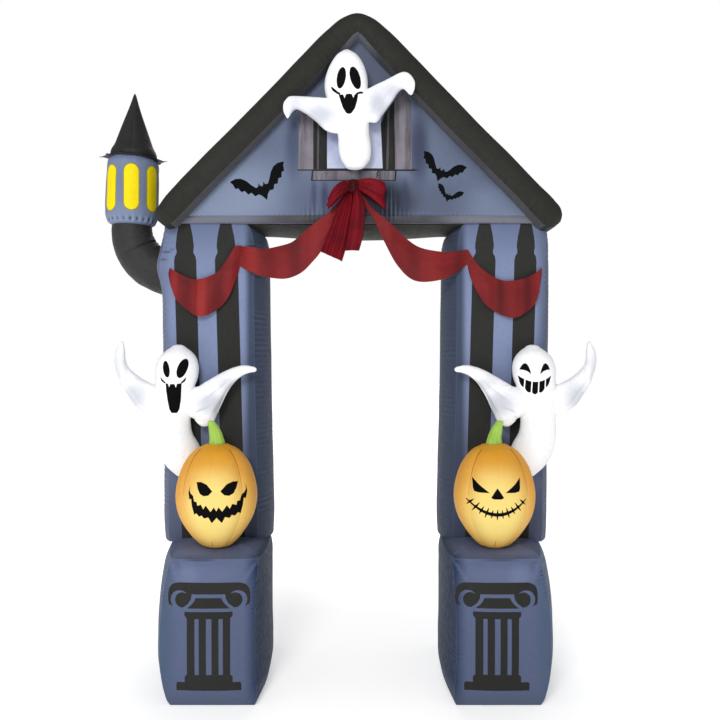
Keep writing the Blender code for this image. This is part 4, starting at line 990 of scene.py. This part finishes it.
def turret():
    def pipe_wobble(place, turn, row):
        inner = max(math.cos(turn), 0) ** 2
        folds = -0.0022 * inner * (0.5 + 0.5 * math.sin(2 * math.pi * place * 6 + 1.2 * math.sin(turn * 2)))
        crease = -0.007 * math.exp(-((place - 0.66 + 0.03 * math.cos(turn)) / 0.018) ** 2)
        crease *= 0.5 + 0.5 * math.cos(turn - 0.5 * math.pi * math.copysign(0.2, math.sin(turn)))
        ends = -0.003 * math.exp(-(1 - place) / 0.03) * abs(math.sin(turn * 16))
        spot = Vector((math.cos(turn), math.sin(turn), place * 4))
        return (folds * math.sin(math.pi * min(place * 1.1, 1)) + crease + ends
                + 0.0018 * ripple(spot, 3, 8.0))

    def body_wobble(place, turn, row):
        rise = row.height - TURRET_ROWS[0].height
        uneven = 0.6 + 0.4 * noise.noise(Vector((math.cos(turn) * 3, math.sin(turn) * 3, 1.0)))
        gather = -0.01 * math.exp(-((rise - 0.02) / 0.012) ** 2) * abs(math.sin(turn * 11 + 1)) ** 2 * uneven
        top = -0.002 * math.exp(-(2.206 - row.height) / 0.012) * abs(math.sin(turn * 15))
        spot = Vector((math.cos(turn), math.sin(turn), row.height * 4))
        return gather + top + 0.0012 * ripple(spot, 2.5, 12.0)

    def cone_wobble(place, turn, row):
        seam = -0.0035 * sum(math.exp(-((math.sin((turn - at) / 2)) / 0.035) ** 2) for at in (0.6, 2.7, 4.8))
        folds = 0.0022 * math.sin(turn * 5 + 3 * place) * math.sin(math.pi * place)
        return (seam + folds) * min(row.radius / 0.05, 1)

    shape = loft(round_rings(smooth(PIPE_ROWS, 0.005, by("out", "height")), 72, pipe_wobble))
    finish_piece("turret_pipe_skin", shape, ["turret_pipe"], ["pipe_black"])
    shape = loft(round_rings(smooth(TURRET_ROWS, 0.004, by("height", "radius")), 120, body_wobble))
    axis = Vector((-0.979, PIPE_DEPTH, 0))
    for number in range(TURRET_WINDOWS):
        turn = math.radians(TURRET_WINDOW_TURN + 360 * number / TURRET_WINDOWS)
        for ink, margin in ((2, 0.0), (1, 0.0035)):
            half = TURRET_WINDOW_HALF - margin
            low, high = TURRET_LOW + margin, TURRET_HIGH - margin
            arc = [(half * math.cos(math.pi * k / 10), half * math.sin(math.pi * k / 10)) for k in range(11)]
            outline = [(u, high - half + v) for u, v in arc] + [(-u, low + half - v) for u, v in arc]
            paint(shape, outline, ink, turn, axis)
    finish_piece("turret_skin", shape, ["turret"], ["turret_blue", "yellow", "yellow_edge"])
    shape = loft(round_rings(smooth(CONE_ROWS, 0.006, by("height", "radius")), 72, cone_wobble), None, CONE_TIP)
    finish_piece("turret_cone_skin", shape, ["turret_cone"], ["cone_black"])


def brim():
    """Ragged ring of doubled cloth between the turret and its cone."""
    steps = 144
    fall = math.radians(BRIM_FALL)
    across = Vector((math.cos(fall), 0, -math.sin(fall)))
    lift = Vector((math.sin(fall), 0, math.cos(fall)))
    middle = Vector((-BRIM_OUT, PIPE_DEPTH, BRIM_HEIGHT))
    shape = bmesh.new()
    sides = []
    for height in (0.0, CLOTH_THICK):
        rows = []
        for share in (0.62, 0.72, 0.8, 0.88, 0.94, 1.0):
            row = []
            for step, turn in enumerate(turns(steps)):
                place = step / steps * len(BRIM_RADII)
                low, high = BRIM_RADII[int(place)], BRIM_RADII[(int(place) + 1) % len(BRIM_RADII)]
                full = low + (high - low) * (place - int(place))
                radius = BRIM_HOLE + (full - BRIM_HOLE) * (share - 0.6) / 0.4
                spoke = across * math.cos(turn) + Vector((0, 1, 0)) * math.sin(turn)
                beyond = max(radius - BRIM_CARRIED, 0)
                droop = 0.12 * beyond * math.sin(turn * 9)
                row.append(shape.verts.new(middle + spoke * radius + lift * (height + droop)))
            rows.append(row)
        sides.append(rows)
    under, upper = sides
    bands = [pair for rows in sides for pair in zip(rows, rows[1:])]
    for near, far in bands + [(under[0], upper[0]), (under[-1], upper[-1])]:
        for i in range(steps):
            j = (i + 1) % steps
            shape.faces.new((near[i], near[j], far[j], far[i]))
    area = half_area(face_out(shape))
    piece = finish_piece("turret_brim_skin", shape, ["turret_brim"], ["cone_black"])


def pumpkin(side, word):
    rings = []
    rows = smooth(PUMPKIN_ROWS, 0.006, by("height", "half"))
    for row in rows:
        ring = []
        for turn in turns(240):
            ahead = max(math.cos(turn), 0)
            gore = abs(math.sin(PUMPKIN_GORES * turn / 2))
            bare = math.exp(-((row.height - 0.76) / 0.13) ** 2) * ahead ** 6
            drawn = 0.04 * (1 - gore ** 0.7) * (1 - bare) - 0.014
            from_seam = row.half * math.asin(gore) * 2 / PUMPKIN_GORES
            seam = round(PUMPKIN_GORES * turn / (2 * math.pi)) % PUMPKIN_GORES
            tuck = pucker(from_seam, row.height, seam, 0.02, 0.0016, 0.014)
            tuck *= 1 - ahead ** 12
            reach = row.half * (1 - drawn) - tuck
            ring.append(Vector((side * PUMPKIN_MIDDLE + reach * math.sin(turn),
                                PUMPKIN_DEPTH - reach * math.cos(turn) * PUMPKIN_FLATNESS, row.height)))
        rings.append(ring)
    shape = loft(rings)
    middle = PUMPKIN_FACES[word]
    if side == LEFT:
        paint(shape, millimetres(JAGGED_GRIN, middle), 1)
        for half in (LEFT, RIGHT):
            paint(shape, millimetres(ALMOND_EYE, middle, side=half), 1)
    else:
        for half in (LEFT, RIGHT):
            paint(shape, millimetres(ANGRY_EYE, middle, side=half), 1)
        paint(shape, millimetres(NOSE, middle), 1)
        smile = [(-114 + 228 * k / 16, 737 + 56 * abs(k / 8 - 1) ** 2.0) for k in range(17)]
        widths = [0.004 + 0.01 * math.sin(math.pi * k / 16) for k in range(17)]
        paint(shape, stroke(millimetres(smile, middle), widths), 1)
        for k in range(STITCHES):
            place = -1 + 2 * (k + 0.5) / STITCHES
            x, z = middle + 0.11 * place, 0.737 + 0.056 * place ** 2
            lean = 0.9 * place
            reach = 0.017 + 0.004 * (k % 2)
            dx, dz = -math.sin(lean) * reach, math.cos(lean) * reach
            paint(shape, stroke([(x - dx, z - dz), (x, z), (x + dx, z + dz)], [0.002, 0.009, 0.002]), 1)
    # stitched lines between the gores, faint below the widest place
    for turn, low, high, wide in (
            (-45, 0.8, 0.985, 0.0042), (45, 0.8, 0.985, 0.0042), (-5, 0.592, 0.632, 0.0036)):
        line = [(side * PUMPKIN_MIDDLE + (row.half + 0.002) * math.sin(math.radians(turn)), row.height)
                for row in rows[::3] if low < row.height < high]
        widths = [0.001 + (wide - 0.001) * abs(k / (len(line) - 1) - (turn == -5)) for k in range(len(line))]
        paint(shape, stroke(line, widths), 2)
    finish_piece("pumpkin_%s_skin" % word, shape, ["pumpkin_" + word],
                 ["orange_" + word, "face_black", "orange_seam"])

    rings, _, tip = oval_rings(STEM_ROWS, (None, STEM_TIP), side, True, 48, 0.004)
    ribbed = pinched(rings, lambda turn, height: 0.06 * abs(math.sin(turn * 4)))
    finish_piece("stem_%s_skin" % word, loft(ribbed, None, tip), ["stem_" + word], ["green"])


def oval_rings(rows, tips, side=RIGHT, upright=True, steps=48, step_length=0.007):
    """Fine rings through oval sections, rounded off towards each tip."""
    def place(station, across, depth):
        if upright:
            return Vector((side * across, depth, station))
        return Vector((side * station, depth, across))

    rings = []
    for row in smooth(rows, step_length, by("station", "low", "high")):
        middle, reach = (row.low + row.high) / 2, (row.high - row.low) / 2
        rings.append([place(row.station, middle + reach * math.cos(turn), row.depth + row.half * math.sin(turn))
                      for turn in turns(steps)])
    ends = [None if tip is None else place(*tip) for tip in tips]
    if ends[0] is not None:
        rings = dome(rings[0], ends[0])[::-1] + rings
    if ends[1] is not None:
        rings = rings + dome(rings[-1], ends[1])
    return rings, ends[0], ends[1]


GHOST_VOXEL, GHOST_SMOOTHING = 0.0045, 8    # size in metres, and rounds


def grown_together(name, lofts):
    """One skin round several overlapping lofts, its joints smoothed out."""
    whole = bmesh.new()
    for rings, start, end in lofts:
        mesh = mesh_of(name, loft(rings, start, end))
        whole.from_mesh(mesh)
        bpy.data.meshes.remove(mesh)
    blank = new_object(name, mesh_of(name, whole))
    remesh = blank.modifiers.new("skin", "REMESH")
    remesh.mode = "VOXEL"
    remesh.voxel_size = GHOST_VOXEL
    soften = blank.modifiers.new("soften", "SMOOTH")
    soften.factor = 0.5
    soften.iterations = GHOST_SMOOTHING
    bpy.context.view_layer.update()
    grown = bpy.data.meshes.new_from_object(blank.evaluated_get(bpy.context.evaluated_depsgraph_get()))
    shape = bmesh.new()
    shape.from_mesh(grown)
    bpy.data.objects.remove(blank)
    bpy.data.meshes.remove(grown)
    return face_out(shape)


# folds that fan out from a place, and creases along a limb, which the ghosts' sides share
Fold = namedtuple("Fold", "x z turn spread count reach depth")
Crease = namedtuple("Crease", "ax az bx bz wide depth")
ARM_CREASES = rows_of(Crease, [(481, 1271, 636, 1152, 10, 7), (499, 1235, 588, 1080, 9, 6),
    (588, 1140, 660, 1112, 8, 6), (937, 1325, 899, 1223, 9, 5), (964, 1271, 851, 1116, 10, 6),
    (425, 1292, 520, 1262, 8, 3)])
WINDOW_CREASES = rows_of(Crease, [(-235, 2355, -110, 2275, 10, 5), (180, 2440, 80, 2340, 10, 5)])


def fold_in(shape, folds, creases, side, seed):
    """Draw folds that fan out from places where a limb joins the body, and creases along the limbs."""
    shape.normal_update()
    moves = []
    for vert in shape.verts:
        move = 0.0014 * ripple(vert.co, 14, seed)
        for fold in folds:
            dx, dz = vert.co.x - fold.x, vert.co.z - fold.z
            radius = math.hypot(dx, dz)
            angle = (math.degrees(math.atan2(dz, dx)) - fold.turn + 180) % 360 - 180
            if abs(angle) > fold.spread or radius > 3 * fold.reach:
                continue
            fan = math.cos(math.pi / 2 * angle / fold.spread)
            wave = 0.5 - 0.5 * math.cos(2 * math.pi * angle / (2 * fold.spread) * fold.count)
            move -= fold.depth * fan * wave * math.exp(-radius / fold.reach) * min(radius / 0.012, 1)
        if vert.normal.y < 0:
            place = Vector((side * vert.co.x, vert.co.z))
            for crease in creases:
                start, end = Vector((crease.ax, crease.az)), Vector((crease.bx, crease.bz))
                share = min(max((place - start).dot(end - start) / (end - start).length_squared, 0), 1)
                away = (place - start.lerp(end, share)).length
                if away < 4 * crease.wide:
                    taper = 0.35 + 0.65 * math.sin(math.pi * share)
                    move -= crease.depth * taper * math.exp(-(away / crease.wide) ** 2)
        moves.append(vert.normal * move)
    for vert, move in zip(shape.verts, moves):
        vert.co += move
    shape.normal_update()


def ghost_face(body):
    """Outlines of a ghost's eyes and mouth, in the order that they are cut."""
    if body == "ghost_left":
        return [oval(-0.761, 1.292, 0.014, 0.034, -10), oval(-0.6965, 1.295, 0.019, 0.041, 20),
                stroke([(-0.786, 1.258), (-0.78, 1.247), (-0.766, 1.236)], [0.003, 0.008, 0.006]),
                stroke([(-0.702, 1.236), (-0.69, 1.246), (-0.684, 1.257)], [0.006, 0.008, 0.003]),
                millimetres([(-32, 124), (-22, 122), (-18, 108), (-12, 121), (4, 120), (9, 106), (14, 121), (32, 124),
                             (29, 95), (26, 54), (20, 18), (11, 3), (-10, 3), (-19, 18), (-26, 54), (-31, 96)],
                            -0.7325, 1.1115)]
    if body == "ghost_window":
        return [oval(-0.0563, 2.447, 0.018, 0.0425, 9), oval(-0.001, 2.448, 0.0205, 0.045, -15),
                stroke([(-0.096, 2.415), (-0.088, 2.404), (-0.072, 2.39), (-0.06, 2.384)],
                       [0.005, 0.01, 0.009, 0.007]),
                stroke([(0.002, 2.384), (0.014, 2.391), (0.024, 2.394), (0.031, 2.394)],
                       [0.007, 0.008, 0.009, 0.005]),
                millimetres([(-42, 78), (-31, 75), (-24, 77), (-18, 62), (-12, 77), (0, 79), (11, 77), (17, 63),
                             (22, 77), (36, 80), (33, 56), (24, 24), (10, 4), (0, 0), (-11, 4), (-25, 26),
                             (-36, 58)], -0.0255, 2.306)]
    outlines = [millimetres(SLY_EYE, x, 1.293, side=half) for half, x in ((LEFT, 0.685), (RIGHT, 0.7625))]
    blocks, gap = 5, 0.035
    for k in range(blocks):
        low, high = -1 + 2 * k / blocks + gap, -1 + 2 * (k + 1) / blocks - gap
        middle = (low + high) / 2
        upper = [(0.724 + 0.067 * s, 1.241 + 0.026 * s * s) for s in (low, middle, high)]
        lower = [(0.724 + 0.067 * s, 1.19 + 0.055 * s * s + 0.02 * s ** 8 + lift)
                 for s, lift in ((high, 0.006), (high - 0.09, 0.001), (middle, 0.0),
                                 (low + 0.09, 0.001), (low, 0.006))]
        outlines.append(upper + lower)
    return outlines


def ghost(body, side, limbs, arms, folds, creases, seed):
    """A ghost's body and arms in one skin, with folds, creases and a printed face."""
    shape = grown_together(body, [oval_rings(rows, tips, side, upright) for rows, tips, upright in limbs])
    fold_in(shape, [Fold(*fold) for fold in folds], creases, side, seed)
    for outline in ghost_face(body):
        paint(shape, outline, 1)
    finish_piece(body + "_skin", shape, [body] + [body + arm for arm in arms],
                 ["ghost_white", "face_black"])


def ghosts():
    limbs = ((GHOST_ROWS, GHOST_TIPS, True), (RAISED_ARM_ROWS, RAISED_ARM_TIPS, True),
             (SPREAD_ARM_ROWS, SPREAD_ARM_TIPS, False))
    for side, word in SIDES:
        turn = 180 if side == RIGHT else 0
        folds = ((side * 0.672, 1.09, turn, 60, 4, 0.05, 0.006),
                 (side * 0.815, 1.13, 180 - turn, 70, 4, 0.05, 0.005),
                 (side * 0.65, 1.22, turn, 50, 3, 0.04, 0.004))
        ghost("ghost_" + word, side, limbs, ("_raised_arm", "_spread_arm"), folds, ARM_CREASES, 15.0 + side)
    limbs = ((WINDOW_GHOST_ROWS, WINDOW_GHOST_TIPS, True), (WINDOW_LEFT_ARM_ROWS, WINDOW_LEFT_ARM_TIPS, False),
             (WINDOW_RIGHT_ARM_ROWS, WINDOW_RIGHT_ARM_TIPS, False))
    folds = (-0.085, 2.245, 100, 70, 4, 0.045, 0.004), (0.058, 2.3, 80, 70, 4, 0.045, 0.004)
    ghost("ghost_window", RIGHT, limbs, ("_left_arm", "_right_arm"), folds, WINDOW_CREASES, 18.0)


def curve_value(values, place):
    """Smooth curve through evenly spaced values, read at a place from 0 to 1."""
    spans = len(values) - 1
    index = min(int(place * spans), spans - 1)
    t = place * spans - index
    a, b = values[max(index - 1, 0)], values[index]
    c, d = values[index + 1], values[min(index + 2, spans)]
    return 0.5 * (2 * b + (c - a) * t + (2 * a - 5 * b + 4 * c - d) * t * t + (3 * b - a - 3 * c + d) * t ** 3)


def sheet_of(rows, along, across, carriers, relief):
    """Thin sheet between its upper and lower edges, laid clear of its carriers."""
    columns = list(zip(*rows))
    front = []
    for i in range(along + 1):
        place = i / along
        top_x, top_z, low_x, low_z, depth, belly = (curve_value(column, place) for column in columns)
        line = []
        for j in range(across + 1):
            share = j / across
            point = Vector((top_x + (low_x - top_x) * share, 0, top_z + (low_z - top_z) * share))
            point.y = depth - belly * math.sin(math.pi * share * 0.75) - relief(place, share, point.x)
            back = nearest_behind(point, carriers)
            if back is not None:
                sewn = min(place, 1 - place) < SEWN_SHARE
                clear = CLOTH_THICK + (SEWN_CLEAR if sewn else CLOTH_CLEAR)
                point.y = back - clear if sewn else min(point.y, back - clear)
            line.append(point)
        front.append(line)
    shape = bmesh.new()
    skins = [[[shape.verts.new(point + Vector((0, shift, 0))) for point in line] for line in front]
             for shift in (0.0, CLOTH_THICK)]
    for grid in skins:
        for near, far in zip(grid, grid[1:]):
            for j in range(across):
                shape.faces.new((near[j], near[j + 1], far[j + 1], far[j]))
    fore, rear = skins
    rim = [(i, 0) for i in range(along)] + [(along, j) for j in range(across)]
    rim += [(i, across) for i in range(along, 0, -1)] + [(0, j) for j in range(across, 0, -1)]
    for (i, j), (k, m) in zip(rim, rim[1:] + rim[:1]):
        shape.faces.new((fore[i][j], fore[k][m], rear[k][m], rear[i][j]))
    return face_out(shape)


def nearest_behind(point, carriers):
    """Depth of the foremost carrier behind a point, or None."""
    start = Vector((point.x, -1.0, point.z)) + FOOT
    hits = [tree.ray_cast(start, Vector((0, 1, 0)))[0] for tree in carriers]
    depths = [hit.y for hit in hits if hit is not None]
    return min(depths) - FOOT.y if depths else None


def tree_of(name):
    shape = bmesh.new()
    shape.from_mesh(bpy.data.objects[name].data)
    tree = BVHTree.FromBMesh(shape)
    shape.free()
    return tree


def swags_and_bow():
    carriers = [tree_of(name) for name in ("column_left_skin", "column_right_skin", "gable_skin", "lintel_skin")]
    for number, (name, rows) in enumerate(SWAG_ROWS.items()):
        def relief(place, share, x, number=number):
            ends = math.sin(math.pi * place) ** 0.5
            bands = sum(proud * math.exp(-((x - middle) / wide) ** 2) for middle, wide, proud in SWAG_BANDS)
            soft = 0.004 * math.sin(5 * math.pi * place + number)
            gather = 0.004 * math.sin(2 * math.pi * 3.5 * share) * math.exp(-min(place, 1 - place) / 0.1)
            return (soft + bands + gather) * ends
        shape = sheet_of(rows, 110, 26, carriers, relief)
        area = half_area(shape)
        piece = finish_piece(name + "_cloth", shape, [name], ["red"], angle=60)
    for name, rows in TAIL_ROWS.items():
        def relief(place, share, x, pleats=TAIL_PLEATS[name]):
            return 0.003 * place + sum(proud * math.exp(-((share - at) / wide) ** 2) for at, wide, proud in pleats)
        shape = sheet_of(rows, 50, 30, [], relief)
        area = half_area(shape)
        piece = finish_piece(name + "_cloth", shape, [name], ["crimson"], angle=60)
    for name, rows in LOOP_ROWS.items():
        rows = smooth(rows, 0.004, by("out", "depth"))
        rings = []
        steps = 18
        for index, row in enumerate(rows):
            along = heading(rows, index, "out", "depth", None)
            normal = Vector((along.y, -along.x, 0))
            place = index / (len(rows) - 1)
            near_knot = math.exp(-min(place, 1 - place) / 0.16)
            ring = []
            for face in (1, -1):
                for step in range(steps + 1):
                    share = step / steps if face == 1 else 1 - step / steps
                    crease = 0.004 * near_knot * math.sin(2 * math.pi * 1.5 * share) * min(place, 1 - place) / 0.03
                    crease = max(min(crease, 0.003), -0.003)
                    height = row.low + (row.top - row.low) * share
                    ring.append(Vector((row.out, row.depth, height)) + normal * (face * CLOTH_THICK / 2 + crease))
            rings.append(ring)
        shape = loft(rings)
        area = half_area(shape)
        piece = finish_piece(name + "_cloth", shape, [name], ["crimson"], angle=60)


def knot():
    rings, _, _ = oval_rings(KNOT_ROWS, (None, None), steps=56, step_length=0.0025)
    creased = pinched(rings, lambda turn, height: 0.07 * abs(math.sin(turn * 4 + 20 * (height - 2.03))))
    finish_piece("bow_knot_skin", loft(creased), ["bow_knot"], ["crimson_deep"])


# studio

CAMERA_PLACE, SENSOR, LENS, SHIFT = (0, -3.48, 1.369), 36.0, 41.5, (0.00625, -0.013889)
LAMPS = (
    # name, place, aim, size and power
    ("key", (-1.0, -5.0, 3.3), (0, 0, 1.5), 1.6, 150),
    ("rim", (0.0, 4.5, 4.0), (0, 0, 1.6), 3.0, 60),
)


def studio():
    white, reach = (1.0, 1.0, 1.0, 1.0), 40.0
    material, tree, shader = principled("pale_floor", Base_Color=(0.93, 0.93, 0.93, 1), Roughness=0.9,
                                        Specular_IOR_Level=0.1, Emission_Color=white)
    mesh = bpy.data.meshes.new("floor")
    mesh.from_pydata([(-reach, -reach, 0), (reach, -reach, 0), (reach, reach, 0), (-reach, reach, 0)], [],
                     [(0, 1, 2, 3)])
    mesh.materials.append(material)
    floor = new_object("floor", mesh)
    floor.location = (0, 0, CAD_BOX[0][2] - 0.001)

    # the floor grows brighter away from the part, as in the photo
    place = tree.nodes.new("ShaderNodeTexCoord")
    length = tree.nodes.new("ShaderNodeVectorMath")
    length.operation = "LENGTH"
    tree.links.new(place.outputs["Object"], length.inputs[0])
    spread = set_sockets(tree.nodes.new("ShaderNodeMapRange"), From_Min=0.8, From_Max=3.2, To_Min=0.4, To_Max=0.9)
    tree.links.new(length.outputs["Value"], spread.inputs["Value"])
    tree.links.new(spread.outputs["Result"], shader.inputs["Emission Strength"])

    # a white dome that only the camera sees
    material, _, _ = principled("white_sky", Base_Color=(0.0, 0.0, 0.0, 1.0), Specular_IOR_Level=0.0,
                                Emission_Color=white, Emission_Strength=1.0)
    shape = bmesh.new()
    bmesh.ops.create_uvsphere(shape, u_segments=48, v_segments=24, radius=30.0)
    mesh = mesh_of("backdrop", shape)
    mesh.materials.append(material)
    sky = new_object("backdrop", mesh)
    for ray in ("diffuse", "glossy", "transmission", "volume_scatter", "shadow"):
        setattr(sky, "visible_" + ray, False)

    world = bpy.data.worlds.new("studio")
    world.use_nodes = True
    set_sockets(world.node_tree.nodes["Background"], Color=white, Strength=0.42)
    scene = bpy.context.scene
    scene.world = world
    scene.view_settings.view_transform = "Standard"

    for name, place, aim, size, power in LAMPS:
        data = bpy.data.lights.new(name, "AREA")
        data.shape, data.size, data.energy = "DISK", size, power
        lamp = new_object(name, data)
        lamp.location = place
        lamp.rotation_euler = (Vector(aim) - Vector(place)).to_track_quat("-Z", "Y").to_euler()

    data = bpy.data.cameras.new("camera")
    data.sensor_width, data.lens = SENSOR, LENS
    data.shift_x, data.shift_y = SHIFT
    camera = new_object("camera", data)
    camera.location = FOOT + Vector(CAMERA_PLACE)
    camera.rotation_euler = (math.radians(90), 0, 0)
    scene.camera = camera


def main():
    roof()
    gable()
    lintel()
    for side, word in SIDES:
        pedestal(side, word)
        column(side, word)
        pumpkin(side, word)
    turret()
    brim()
    ghosts()
    knot()
    swags_and_bow()
    studio()


main()
